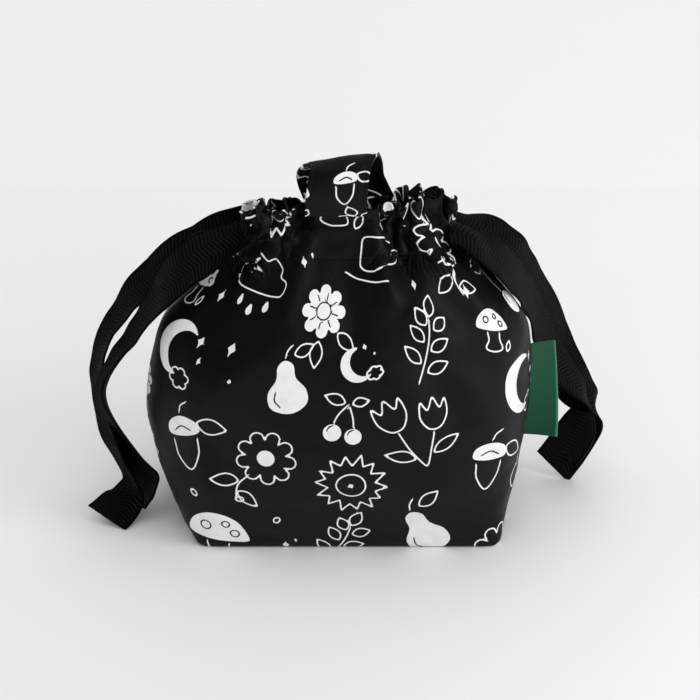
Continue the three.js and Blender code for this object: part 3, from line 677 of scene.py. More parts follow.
def solve(ns, dt, X, iters, beta, press, log=False):
    half = ns // 2
    q = np.arange(ns) * (2 * W / ns)
    nt = X.shape[1]
    t = np.arange(nt) * (T_TOP / (nt - 1))
    ds, dtt = 2 * W / ns, t[1]
    X = X.astype(np.float32)
    pinned = np.zeros((ns, nt), bool)
    pinned[:, 0] = True
    jl = int(round(T_LOW / dtt))
    jh = int(round(T_HIGH / dtt))
    cols = {"front": np.arange(0, half + 1), "back": np.arange(half + 1, ns)}
    soft = {}
    for side, c in cols.items():
        s = q[c] - W / 2 if side == "front" else W / 2 - (q[c] - W)
        for j, zz, seed, puff in ((jl, Z_LOW, 1, 1.0), (jh, Z_HIGH, 2, 1.15)):
            px, py, off = pinned_row(side, zz, s, puff, seed)
            X[c, j, 0], X[c, j, 1] = px, py
            X[c, j, 2] = zz + tilt(side, px)
            pinned[c, j] = j == jh
        # between and above, a start in line with the two stitch rows
        for j in range(jl + 1, nt):
            if j == jh:
                continue
            f = (j - jl) / (jh - jl)
            X[c, j] = X[c, jl] * (1 - f) + X[c, jh] * f if f < 1 else X[c, jh] + np.array([0, 0, (j - jh) * dtt])
    # rows of the side slits, above the casing's lower stitch line
    mh = np.ones((ns, nt), np.float32)
    js = jl - int(3 / dtt)
    mh[half, js:] = 0
    mh[ns - 1, js:] = 0
    free = (~pinned)[..., None].astype(np.float32)
    wgt = free
    rows = np.linspace(0, 196, 393)
    rv = row_values(rows)
    f32 = np.float32

    def pair(A, B, wa, wb, rest, k, m=None):
        d = B - A
        l = np.sqrt((d * d).sum(-1, keepdims=True)) + 1e-6
        c = (l - rest) / l * k / np.maximum(wa + wb, 1e-6) * (wa + wb > 0)
        if m is not None:
            c = c * m[..., None]
        d = d * c
        A += d * wa
        B -= d * wb

    bulge_rows = np.zeros(nt, f32)
    u = np.clip((np.arange(nt) - jl) / (jh - jl), 0, 1)
    bulge_rows = np.sin(math.pi * u).astype(f32)
    alpha = np.interp(t, [0, 20, 90, 130, T_LOW - 20, T_LOW, T_HIGH], [0.10, 0.06, 0.05, 0.02, 0.010, 0.004, 0.0]).astype(f32)
    inner = np.interp(t, [0, 20, 90, 130, T_LOW - 15, T_LOW, T_HIGH], [0.5, 1.5, 2.5, 4.0, 8, 16, 30]).astype(f32)
    outer = np.interp(t, [0, 20, 90, 130, T_LOW - 15, T_LOW, T_HIGH], [0.5, 1.5, 2.0, 3.0, 3.0, 2.2, 2.2]).astype(f32)
    wide = (np.arange(nt) < jl)
    soften = np.interp(t, [0, 15, T_LOW - 70, T_LOW - 20, T_LOW], [0.0, 0.03, 0.05, 0.045, 0.01]).astype(f32)
    strides = (1, 2, 3) if ns < 400 else (1, 2, 4)
    ease = np.interp(t, [0, 80, 130, T_LOW - 20, T_LOW, T_HIGH], [1.0, 1.0, 0.93, 0.81, 0.80, 0.95]).astype(f32)[None, :, None]
    dse = ds * ease
    for it in range(iters):
        # bending: against the second differences
        lap = np.roll(X, 1, 0) + np.roll(X, -1, 0) - 2 * X
        lap[[half, half + 1, ns - 1, 0], js:] = 0
        bi = np.roll(lap, 1, 0) + np.roll(lap, -1, 0) - 2 * lap
        bi[[half - 1, half, half + 1, half + 2, ns - 2, ns - 1, 0, 1], js:] = 0
        X -= free * (beta * bi)
        lv = np.zeros_like(X)
        lv[:, 1:-1] = X[:, 2:] + X[:, :-2] - 2 * X[:, 1:-1]
        bv = np.zeros_like(X)
        bv[:, 1:-1] = lv[:, 2:] + lv[:, :-2] - 2 * lv[:, 1:-1]
        X -= free * (beta * (dtt / ds) * bv)
        # the thick lined cloth turns wide below the casing: pulled straight over a longer reach
        for reach in strides:
            far_ = np.roll(X[:, :jl], reach, 0) + np.roll(X[:, :jl], -reach, 0) - 2 * X[:, :jl]
            X[:, :jl] += free[:, :jl] * far_ * soften[None, :jl, None]
        # shape of the filled pouch
        if it % 3 == 0:
            B = X[:, :jh]
            x, y, z = B[..., 0], B[..., 1], B[..., 2]
            tl = np.where(y < 0, np.interp(x, TILT_X, TILT_F), np.interp(x, TILT_X, TILT_B)) * smooth(105, Z_LOW, z)
            zr = np.clip(z - tl, 0, 190)
            k = zr * 2
            i0 = np.clip(k.astype(int), 0, len(rows) - 2)
            fr = (k - i0)[..., None]
            r = rv[i0] * (1 - fr) + rv[i0 + 1] * fr
            a = (r[..., 1] - r[..., 0]) / 2
            cx = (r[..., 1] + r[..., 0]) / 2
            b = np.where(y < 0, r[..., 2], r[..., 3])
            n = r[..., 4]
            ux, uy = np.abs(x - cx) / a, np.abs(y) / b
            g = (ux**n + uy**n) ** (1 / n)
            gx = np.sign(x - cx) * (ux / g) ** (n - 1) / a
            gy = np.sign(y) * (uy / g) ** (n - 1) / b
            gn = np.hypot(gx, gy) + 1e-9
            dist = (g - 1) / gn
            nx, ny = gx / gn, gy / gn
            al = alpha[None, :jh]
            mv = -al * 3 * dist
            lim = np.clip(dist, -inner[None, :jh], outer[None, :jh]) - dist
            mv = mv + 0.5 * lim
            X[:, :jh, 0] += free[:, :jh, 0] * (mv * nx).astype(f32)
            X[:, :jh, 1] += free[:, :jh, 0] * (mv * ny).astype(f32)
            # floor
            X[..., 2] = np.maximum(X[..., 2], 0.55)
            # the tapes inside swell the casing
            du = np.roll(X, -1, 0) - np.roll(X, 1, 0)
            dv = np.zeros_like(X)
            dv[:, 1:-1] = X[:, 2:] - X[:, :-2]
            nn = np.cross(du, dv)
            nn /= np.linalg.norm(nn, axis=-1, keepdims=True) + 1e-6
            X += free * nn * (bulge_rows[None, :, None] * 0.10 + (press * wide)[None, :, None])
        for off in (0, 1):
            if off == 0:
                pair(X[0::2], X[1::2], wgt[0::2], wgt[1::2], dse, 1.0, mh[0::2])
            else:
                A, Bq = X[1::2], np.roll(X[0::2], -1, 0)
                wb = np.roll(wgt[0::2], -1, 0)
                pair(A, Bq, wgt[1::2], wb, dse, 1.0, mh[1::2])
                X[0::2] = np.roll(Bq, 1, 0)
        for off in (0, 1):
            e = (nt - off) // 2 * 2
            pair(X[:, off : off + e : 2], X[:, off + 1 : off + e : 2], wgt[:, off : off + e : 2], wgt[:, off + 1 : off + e : 2], dtt, 1.0)
        for off in (0, 1):
            e = (nt - off) // 2 * 2
            A, Bv = X[:, off : off + e : 2], X[:, off + 1 : off + e : 2]
            wa, wb = wgt[:, off : off + e : 2], wgt[:, off + 1 : off + e : 2]
            mm = mh[:, off : off + e : 2]
            # both diagonals of the cells between these rows
            Bs = np.roll(Bv, -1, 0)
            dg = np.sqrt(dse[:, off : off + e : 2] ** 2 + dtt * dtt)
            pair(A, Bs, wa, np.roll(wb, -1, 0), dg, 0.35, mm)
            Bv[:] = np.roll(Bs, 1, 0)
            As = np.roll(A, -1, 0)
            pair(As, Bv, np.roll(wa, -1, 0), wb, dg, 0.35, mm)
            A[:] = np.roll(As, 1, 0)
    if log:
        d = np.linalg.norm(np.roll(X, -1, 0) - X, axis=-1)
        v = np.linalg.norm(X[:, 1:] - X[:, :-1], axis=-1)
        for j in range(0, nt, max(1, nt // 14)):
            print("t %.0f z %.1f  h %.2f±%.2f  v %.2f±%.2f" % (t[j], X[:, j, 2].mean(), d[:, j].mean() / ds, d[:, j].std() / ds, v[:, min(j, nt - 2)].mean() / dtt, v[:, min(j, nt - 2)].std() / dtt))
    return X


def refine(X, nt2):
    """Twice the columns, nt2 rows."""
    ns, nt = X.shape[:2]
    half = ns // 2
    Y = np.zeros((ns * 2, nt, 3), X.dtype)
    Y[0::2] = X
    a, b, c, d = np.roll(X, 1, 0), X, np.roll(X, -1, 0), np.roll(X, -2, 0)
    Y[1::2] = (-a + 9 * b + 9 * c - d) / 16
    js = int(nt * (T_LOW - 4) / T_TOP)
    for e in (half, ns - 1):
        # across a side slit the front keeps its end column
        Y[(2 * e + 1), js:] = (0.5 * (X[e] + X[(e + 1) % ns]))[js:]
    at = np.linspace(0, nt - 1, nt2)
    i = np.clip(at.astype(int), 0, nt - 2)
    f = (at - i)[None, :, None].astype(X.dtype)
    im, ip = np.clip(i - 1, 0, nt - 1), np.clip(i + 2, 0, nt - 1)
    p0, p1, p2, p3 = Y[:, im], Y[:, i], Y[:, i + 1], Y[:, ip]
    return 0.5 * (2 * p1 + (p2 - p0) * f + (2 * p0 - 5 * p1 + 4 * p2 - p3) * f**2 + (-p0 + 3 * p1 - 3 * p2 + p3) * f**3)


def cloth():
    ns1, dt1 = 274, 2.5
    q, t, X, cols = tube(ns1, dt1)
    X = solve(ns1, dt1, X, 420, 0.035, 0.02)
    nt2 = (X.shape[1] - 1) * 2 + 1
    X = refine(X, nt2)
    X = solve(548, dt1 / 2, X, 90, 0.05, 0.01)
    return X


# ------------------------------------------------------------------ the print: generic doodles, kept as distances to their outlines
def circle(r, n=28, c=(0, 0), a0=0.0, a1=2 * math.pi, sy=1.0):
    t = np.linspace(a0, a1, n + 1)
    return np.stack([c[0] + r * np.cos(t), c[1] + r * sy * np.sin(t)], -1)


def curve(points, closed=False, per=8):
    """A smooth line through points."""
    q = np.array(points, float)
    if closed:
        q = np.concatenate([q[-1:], q, q[:2]])
    else:
        q = np.concatenate([2 * q[:1] - q[1:2], q, 2 * q[-1:] - q[-2:-1]])
    out = []
    for i in range(1, len(q) - 2):
        t = np.linspace(0, 1, per, endpoint=False)[:, None]
        out.append(0.5 * (2 * q[i] + (q[i + 1] - q[i - 1]) * t + (2 * q[i - 1] - 5 * q[i] + 4 * q[i + 1] - q[i + 2]) * t**2 + (-q[i - 1] + 3 * q[i] - 3 * q[i + 1] + q[i + 2]) * t**3))
    out.append(q[-2:-1])
    return np.concatenate(out)


def leaf(length, wide, bend=0.0):
    t = np.linspace(0, 1, 15)
    x = t * length
    y = np.sin(math.pi * t**0.85) * wide / 2
    a = np.stack([x, y + bend * x * x / length], -1)
    b = np.stack([x, -y + bend * x * x / length], -1)[::-1]
    return np.concatenate([a, b[1:]])


def turned(q, deg, at=(0, 0), scale=1.0):
    c, s_ = math.cos(math.radians(deg)), math.sin(math.radians(deg))
    return np.asarray(q) * scale @ np.array([[c, s_], [-s_, c]]) + np.array(at, float)


def bumps(r, n, depth, squash=1.0, per=7):
    """A scalloped ring, as a cloud's or a petalled flower's outline."""
    out = []
    for k in range(n):
        a0, a1 = 2 * math.pi * k / n, 2 * math.pi * (k + 1) / n
        t = np.linspace(0, 1, per, endpoint=False)
        a = a0 + (a1 - a0) * t
        rr = r + depth * np.sqrt(np.clip(np.sin(math.pi * t), 0, 1))
        out.append(np.stack([rr * np.cos(a), rr * squash * np.sin(a)], -1))
    q = np.concatenate(out)
    return np.concatenate([q, q[:1]])


# each motif: lists of outlines drawn in white (p and q never cross their own kind), filled shapes (f) and black lines on them (d)
def daisy():
    return {"p": [bumps(9.5, 9, 4.6), turned(leaf(13, 6.5, 0.1), 200, (-5.6, -18)), turned(leaf(12, 6, -0.1), -12, (-3.8, -23.5))], "f": [circle(4.2)], "q": [curve([(-3, -13), (-5, -20), (-3, -27)])]}


def daisy_solid():
    return {"f": [bumps(9.0, 8, 5.0)], "d": [circle(4.6)] + [turned(curve([(6.2, 0), (9.0, 0)]), 45 * k + 10) for k in range(8)], "q": [turned(leaf(14, 7, 0.08), -120, (-7, -14)), turned(leaf(13, 7, -0.08), -60, (5, -14))]}


def tulips():
    cup = curve([(-7, 8), (-7.5, 0), (-4, -6), (0, -7.5), (4, -6), (7.5, 0), (7, 8), (3.5, 3.5), (0, 9.5), (-3.5, 3.5)], True)
    leaves = [turned(leaf(15, 6.2, 0.16), 142, (-3.4, -15.0)), turned(leaf(14, 6, -0.14), 24, (5.6, -14.6))]
    return {"p": [turned(cup, 8, (-8, 10)), turned(cup, -14, (11, 4), 0.9)] + leaves, "q": [curve([(-7, 1), (-4.6, -9), (-1.2, -18), (0.4, -20.4), (2.0, -18.4), (5.4, -11), (8.5, -4)])]}


def mushroom():
    cap = curve([(-15, 0), (-13, 8), (-6, 14), (2, 15), (10, 11), (15, 3), (15.5, -1), (8, -2.5), (0, -3), (-8, -2.2)], True)
    return {"f": [cap], "d": [circle(2.6, c=(-6, 6)), circle(2.0, c=(4, 9)), circle(2.3, c=(8.5, 3))], "p": [curve([(-5.5, -5), (-5, -11), (-7.5, -17), (-2, -19.5), (4, -19), (7.5, -16.5), (5, -10), (5.5, -5)])], "q": [turned(leaf(9, 4.5), 70, (12, -19))]}


def cloud():
    body = curve([(-18, -5), (-19.5, 1), (-14, 5), (-11, 4.2), (-9, 10.5), (-1.5, 13), (4, 9.6), (9, 11.5), (14, 7.5), (13.5, 3.4), (18.5, 0.5), (17.5, -5), (12, -6.5), (-12, -6.5)], True)
    drop = curve([(0, 3.4), (1.9, -0.4), (0, -2.4), (-1.9, -0.4)], True)
    return {"p": [body], "f": [drop + np.array([-9, -13]), drop + np.array([0, -16]), drop + np.array([9, -12.5])], "q": [curve([(-7, 1.5), (-3.5, 4.5), (1, 3.5)])]}


def sprig():
    out = {"q": [curve([(-4, -20), (-1.5, -8), (0, 4), (-0.5, 12)])], "p": [turned(leaf(11, 6.2), 84, (-0.5, 13.5))], "f": [], "d": []}
    for k, (y, side_) in enumerate([(-14, 1), (-10, -1), (-3, 1), (1, -1), (7.5, 1), (9.5, -1)]):
        q = turned(leaf(12.5 - 0.6 * k, 6.0), 90 - side_ * (58 - 3 * k), (-2 + 0.1 * (y + 14) + side_ * 2.2, y))
        out["p"].append(q)
    return out


def moon():
    a = circle(14, 30, a0=math.radians(50), a1=math.radians(310))
    b = circle(11.2, 24, (5.6, 0), a0=math.radians(292), a1=math.radians(68))
    return {"f": [np.concatenate([a, b, a[:1]]), star4(4.2, (12, 10)), star4(2.8, (17.5, 1.5))], "p": [bumps(5.2, 6, 2.1, 0.7) + np.array([11, -12])]}


def star4(r, at=(0, 0), deg=0.0):
    q = []
    for k in range(4):
        a = math.pi / 2 * k
        for tt in (0.0, 0.35, 0.7):
            # a concave side from tip to tip
            a2 = a + math.pi / 2
            p0, p2 = np.array([math.cos(a), math.sin(a)]), np.array([math.cos(a2), math.sin(a2)])
            p1 = (p0 + p2) * 0.09
            q.append(((1 - tt) ** 2 * p0 + 2 * tt * (1 - tt) * p1 + tt * tt * p2) * r)
    q = np.array(q + q[:1])
    return turned(q * np.array([0.72, 1.0]), deg, at)


def cherries():
    return {"f": [circle(6.8, c=(-8, -9)), circle(6.4, c=(7.5, -11.5))], "d": [curve([(-11.8, -7), (-10.6, -4.6), (-8.4, -3.6)]), curve([(3.7, -9.6), (4.8, -7.4), (6.8, -6.4)])], "q": [curve([(-7.2, -1), (-4, 6), (2.5, 13.5)]), curve([(7.6, -4), (6.6, 4), (4, 12)]), ], "p": [turned(leaf(17, 8.5, 0.06), 158, (0.5, 15.0)), turned(leaf(13, 7, -0.08), 20, (6, 14.5))]}


def teacup():
    cup = curve([(-12, 6), (-11.5, -1), (-8, -8), (-3, -10), (3, -10), (8, -8), (11.5, -1), (12, 6), (0, 7.6)], True)
    return {"p": [cup, curve([(-15, -13.5), (-6, -15), (6, -15), (15, -13.5)])], "q": [curve([(13, 3.6), (18, 4.4), (18.6, -1.2), (14, -4.6), (11.8, -5.2)]), curve([(-4, 11), (-6, 14.5), (-3.2, 17.5), (-5, 21)]), curve([(4, 11), (2, 14.5), (4.8, 17.5), (3, 21)])]}


def pear():
    body = curve([(0, 13), (-4.2, 10), (-5.2, 3), (-10, -4), (-9.5, -12), (-3, -16), (4, -16), (10.5, -11.5), (10.6, -4), (5.6, 3), (4.6, 10)], True)
    return {"f": [body], "d": [curve([(-6.0, -4), (-6.8, -8.4), (-4.4, -12)])], "q": [curve([(0.5, 15), (1.6, 18), (4.2, 20.5)])], "p": [turned(leaf(12, 6.5, 0.1), 12, (5.5, 15.5))]}


def sun():
    k = np.arange(29)
    r = np.where(k % 2 == 0, 12.6, 18.4) + 0.8 * np.sin(k * 1.7)
    r[-1] = r[0]
    ray = np.stack([r * np.cos(2 * math.pi * k / 28), r * np.sin(2 * math.pi * k / 28)], -1)
    return {"p": [ray], "q": [circle(7.6, 26, sy=0.94)], "f": [star4(3.0, (0, 0), 20)]}


def acorn():
    cap = curve([(-9, 2), (-8, 7.5), (0, 10.5), (8, 7.5), (9, 2), (0, 0.6)], True)
    return {"f": [cap], "p": [curve([(-7.2, -1.4), (-6, -9), (0, -16), (6, -9), (7.2, -1.4)])], "q": [curve([(0, 12.5), (1.2, 15.5), (4.5, 17)]), turned(leaf(15, 8, 0.08), -28, (9, 7))], "d": [curve([(-4.5, 3.6), (0, 5.6), (4.5, 3.6)])]}


MOTIFS = [daisy, mushroom, sun, tulips, cherries, sprig, cloud, moon, daisy_solid, teacup, pear, acorn]


def layout(seed, first, lo, hi):
    """Motifs strewn over the flat cloth from lo to hi, large ones first, then small ones and marks in the gaps."""
    rng = np.random.default_rng(seed)
    shapes = {"p": [], "q": [], "f": [], "d": []}
    spots, kinds, used = [], [], np.zeros(len(MOTIFS))
    used[first % len(MOTIFS)] -= 0.5
    for radius, tries, size_lo, size_hi in ((22.0, 1500, 1.02, 1.16), (14.5, 1500, 0.66, 0.74), (7.5, 260, 0, 0)):
        for _ in range(tries):
            at = rng.uniform((lo[0] - 8, lo[1] - 8), (hi[0] + 8, hi[1] + 8))
            if spots and (np.hypot(*(np.array(spots)[:, :2] - at).T) - np.array(spots)[:, 2]).min() < radius:
                continue
            spots.append((at[0], at[1], radius * 0.97))
            deg = rng.uniform(-28, 28)
            if radius > 10:
                away = np.array([min([9e9] + [math.hypot(s_[0] - at[0], s_[1] - at[1]) for s_, k_ in zip(spots[:-1], kinds) if k_ == k]) for k in range(len(MOTIFS))])
                k = int(np.argmin(used + (away < 105) * 3 + rng.uniform(0, 0.4, len(MOTIFS))))
                used[k] += 1
                size = rng.uniform(size_lo, size_hi)
                m = MOTIFS[k]()
                for kind in shapes:
                    shapes[kind] += [turned(q, deg, at, size) for q in m.get(kind, [])]
                kinds.append(k)
            else:
                kinds.append(-1)
                pick = rng.integers(0, 5)
                if pick <= 1:
                    shapes["f"].append(star4(rng.uniform(4.4, 6.0), at, deg / 2))
                elif pick == 2:
                    shapes["q"].append(turned(circle(2.2, 16, sy=0.7), deg * 2, at))
                elif pick == 3:
                    shapes["f"] += [star4(4.2, at - (2, 1), deg / 2), star4(2.3, at + (4, 3))]
                else:
                    shapes["f"].append(circle(1.2, 12, at))
    return shapes


def distance(points, line):
    """Distance to a line of segments, and its sign by the side of the nearest one."""
    a, b = line[:-1], line[1:]
    keep = np.linalg.norm(b - a, axis=1) > 1e-6
    a, b = a[keep], b[keep]
    v = b - a
    r = points[:, None] - a[None]
    u = np.clip((r * v).sum(-1) / (v * v).sum(-1), 0, 1)
    q = r - u[..., None] * v
    d2 = (q * q).sum(-1)
    i = d2.argmin(1)
    k = np.arange(len(points))
    closed = np.linalg.norm(line[0] - line[-1]) < 1e-6
    nrm = np.stack([-v[:, 1], v[:, 0]], -1) / np.linalg.norm(v, axis=1, keepdims=True)
    # at a corner the side is told by both segments together
    nxt = np.roll(nrm, -1, 0) if closed else np.concatenate([nrm[1:], nrm[-1:]])
    prv = np.roll(nrm, 1, 0) if closed else np.concatenate([nrm[:1], nrm[:-1]])
    ui = u[k, i]
    nn = np.where((ui >= 1)[:, None], nrm[i] + nxt[i], np.where((ui <= 0)[:, None], nrm[i] + prv[i], nrm[i]))
    side = np.sign((q[k, i] * nn).sum(-1))
    side[side == 0] = 1
    return np.sqrt(d2[k, i]), side


def inside(points, line):
    x, y = points[:, 0], points[:, 1]
    c = np.zeros(len(points), bool)
    for (x0, y0), (x1, y1) in zip(line[:-1], line[1:]):
        if y0 == y1:
            continue
        hit = ((y0 > y) != (y1 > y)) & (x < (x1 - x0) * (y - y0) / (y1 - y0) + x0)
        c ^= hit
    return c


def paint(ob, shapes, st):
    """Stores on every vertex how far it is from the print's lines, for the material to draw them sharply. st (k, 2) flat mm."""
    flat = st.reshape(-1, 2)
    out = {}
    reach = 6.0
    for kind in ("p", "q", "d"):
        u = np.full(len(flat), 20.0)
        a = np.full(len(flat), 20.0)
        for q in shapes[kind]:
            lo, hi = q.min(0) - reach, q.max(0) + reach
            near = np.nonzero(((flat > lo) & (flat < hi)).all(1))[0]
            if not len(near):
                continue
            d, side = distance(flat[near], q)
            nearer = d < u[near]
            sel = near[nearer]
            u[sel] = d[nearer]
            a[sel] = (d * side)[nearer]
        out[f"ink_{kind}a"], out[f"ink_{kind}u"] = a, u
    f = np.full(len(flat), 20.0)
    for q in shapes["f"]:
        q = q if np.allclose(q[0], q[-1]) else np.concatenate([q, q[:1]])
        lo, hi = q.min(0) - reach, q.max(0) + reach
        near = np.nonzero(((flat > lo) & (flat < hi)).all(1))[0]
        if not len(near):
            continue
        d, _ = distance(flat[near], q)
        d = np.where(inside(flat[near], q), -d, d)
        f[near] = np.minimum(f[near], d)
    out["ink_f"] = f
    count = len(ob.data.vertices)
    for k, v in out.items():
        attribute(ob, k, np.concatenate([v, np.full(count - len(v), 20.0)]))


PRINT_FRONT = layout(5, 0, (-W / 2, 0), (W / 2, 215))
PRINT_BACK = layout(8, 4, (-W / 2, 0), (W / 2, 215))


# ------------------------------------------------------------------ stitches
def stitches(name, line, normal, pitch=2.8, long=1.9, r=0.15, sink=0.10, body="pouch"):
    """Short thread capsules along a line of points (k, 3) with normals, in mm."""
    d = np.concatenate([[0], np.cumsum(np.linalg.norm(np.diff(line, axis=0), axis=1))])
    total = d[-1]
    verts, faces = [], []
    ring = np.linspace(0, 2 * math.pi, 6, endpoint=False)
    count = int(total / pitch)
    for k in range(count):
        at = np.linspace((k + 0.15) * pitch, (k + 0.15) * pitch + long, 5)
        if at[-1] > total:
            break
        c = np.stack([np.interp(at, d, line[:, j]) for j in range(3)], -1)
        nn = np.stack([np.interp(at, d, normal[:, j]) for j in range(3)], -1)
        nn /= np.linalg.norm(nn, axis=1, keepdims=True) + 1e-9
        tt = np.gradient(c, axis=0)
        tt /= np.linalg.norm(tt, axis=1, keepdims=True) + 1e-9
        bb = np.cross(tt, nn)
        rad = r * np.array([0.45, 0.9, 1.0, 0.9, 0.45])
        rise = np.array([-0.55, 0.05, 0.35, 0.05, -0.55]) * r - sink * 0
        base = len(verts)
        for q in range(5):
            for a in ring:
                verts.append(c[q] + nn[q] * (rise[q] + rad[q] * math.sin(a)) + bb[q] * rad[q] * math.cos(a))
        for q in range(4):
            for m in range(6):
                a0, a1 = base + q * 6 + m, base + q * 6 + (m + 1) % 6
                faces.append([a0, a1, a1 + 6, a0 + 6])
        caps = ([base + m for m in range(6)][::-1], [base + 24 + m for m in range(6)])
        for cap in caps:
            faces.append([cap[0], cap[1], cap[2], cap[3]])
            faces.append([cap[0], cap[3], cap[4], cap[5]])
    ob = make_mesh(name, np.array(verts), [np.array(faces)], THREAD)
    bm = bmesh.new()
    bm.from_mesh(ob.data)
    bmesh.ops.recalc_face_normals(bm, faces=bm.faces)
    bm.to_mesh(ob.data)
    bm.free()
    return ob


# ------------------------------------------------------------------ panels, casings, headings
def grid_st(s, t):
    return np.stack(np.meshgrid(s, t, indexing="ij"), -1)


def blur(a, sigma, axis):
    """Gaussian blur along one axis, with the ends held."""
    k = int(3 * sigma) + 1
    w = np.exp(-0.5 * (np.arange(-k, k + 1) / sigma) ** 2)
    w /= w.sum()
    pad = [(0, 0)] * a.ndim
    pad[axis] = (k, k)
    b = np.pad(a, pad, "reflect", reflect_type="odd")
    out = np.zeros_like(a)
    for i, f in enumerate(w):
        sl = [slice(None)] * a.ndim
        sl[axis] = slice(i, i + a.shape[axis])
        out += f * b[tuple(sl)]
    return out


TUBE = cloth().astype(float)
NS, NT = TUBE.shape[:2]
t_all = np.arange(NT) * (T_TOP / (NT - 1))
s_all = np.linspace(-W / 2, W / 2, NS // 2 + 1)
J_LOW, J_HIGH = int(round(T_LOW / t_all[1])), int(round(T_HIGH / t_all[1]))
PITCH_ST = (s_all[1] - s_all[0], t_all[1])
SIDES = {}
# long soft folds of the front, as (x, z) from and to, height and width: ridges stand out, valleys go in
FOLDS = [
    ((13, 176), (22, 144), 4.1, 5.0), ((27, 178), (33, 146), -4.1, 5.5), ((40, 170), (70, 136), 4.6, 5.5), ((70, 136), (88, 108), 2.7, 7.0), ((52, 170), (82, 140), -3.2, 5.5),
    ((24, 150), (54, 124), 3.0, 6.5), ((-2, 160), (4, 128), -2.7, 8.0), ((-22, 170), (-34, 138), 3.0, 5.5), ((-30, 172), (-48, 142), -1.3, 5.0), ((-44, 162), (-68, 126), 2.7, 7.0),
    ((-40, 128), (-80, 84), 2.3, 11.0), ((-60, 108), (-88, 60), -1.0, 9.0), ((8, 120), (46, 82), 2.4, 11.0), ((40, 110), (70, 66), -1.8, 10.0), ((64, 98), (84, 52), 2.4, 9.0), ((-88, 70), (-70, 20), 2.0, 8.0), ((-20, 62), (34, 32), 1.6, 11.0),
]
for side in ("front", "back"):
    if side == "front":
        p = TUBE[: NS // 2 + 1].copy()
    else:
        p = TUBE[np.r_[NS // 2 : NS, 0]][::-1].copy()
        w = smooth(T_LOW - 7, T_LOW - 1, t_all)[:, None]
        p[0] = p[0] * (1 - w) + (2 * p[1] - p[2]) * w
        p[-1] = p[-1] * (1 - w) + (2 * p[-2] - p[-3]) * w
    sign = -1 if side == "front" else 1
    seed = 300 if side == "front" else 400
    n = normals_of(p)
    flip = (n[len(s_all) // 2, 60, 1] * sign) < 0
    if flip:
        n = -n
    calm = smooth(0, 10, t_all)[None, :] * smooth(0, 10, W / 2 - np.abs(s_all))[:, None] * (1 - smooth(T_LOW - 8, T_LOW, t_all))[None, :]
    crease = smooth(T_LOW + 2, T_HIGH - 2, t_all)[None, :] * (0.15 + 0.85 * smooth(0, 8, np.abs(s_all - (1.0 if side == "front" else -2.5)) - 18))[:, None]
    for axis_, k_ in ((0, 1.0), (1, 2.2), (2, 1.3)):
        p[..., axis_] += k_ * crease * (noise2(p.shape[:2], PITCH_ST, 9, seed + 31 + axis_) + 0.4 * noise2(p.shape[:2], PITCH_ST, 4.5, seed + 41 + axis_))
    n = normals_of(p, flip)
    if side == "front":
        for (xa, za), (xb, zb), high_, wide_ in FOLDS:
            ax, az = xb - xa, zb - za
            w_ = np.clip(((p[..., 0] - xa) * ax + (p[..., 2] - za) * az) / (ax * ax + az * az), -0.2, 1.2)
            off_ = np.hypot(p[..., 0] - xa - w_ * ax, p[..., 2] - za - w_ * az)
            p += n * (high_ * np.exp(-((off_ / wide_) ** 2)) * np.sin(math.pi * np.clip((w_ + 0.2) / 1.4, 0, 1)) ** 0.7)[..., None]
        n = normals_of(p, flip)
    d = noise2(p.shape[:2], PITCH_ST, 46, seed) * 0.85 + noise2(p.shape[:2], PITCH_ST, 18, seed + 1) * 0.22 + noise2(p.shape[:2], PITCH_ST, 6, seed + 2) * 0.05
    p += n * (d * calm)[..., None]
    SIDES[side] = p, bool(flip)

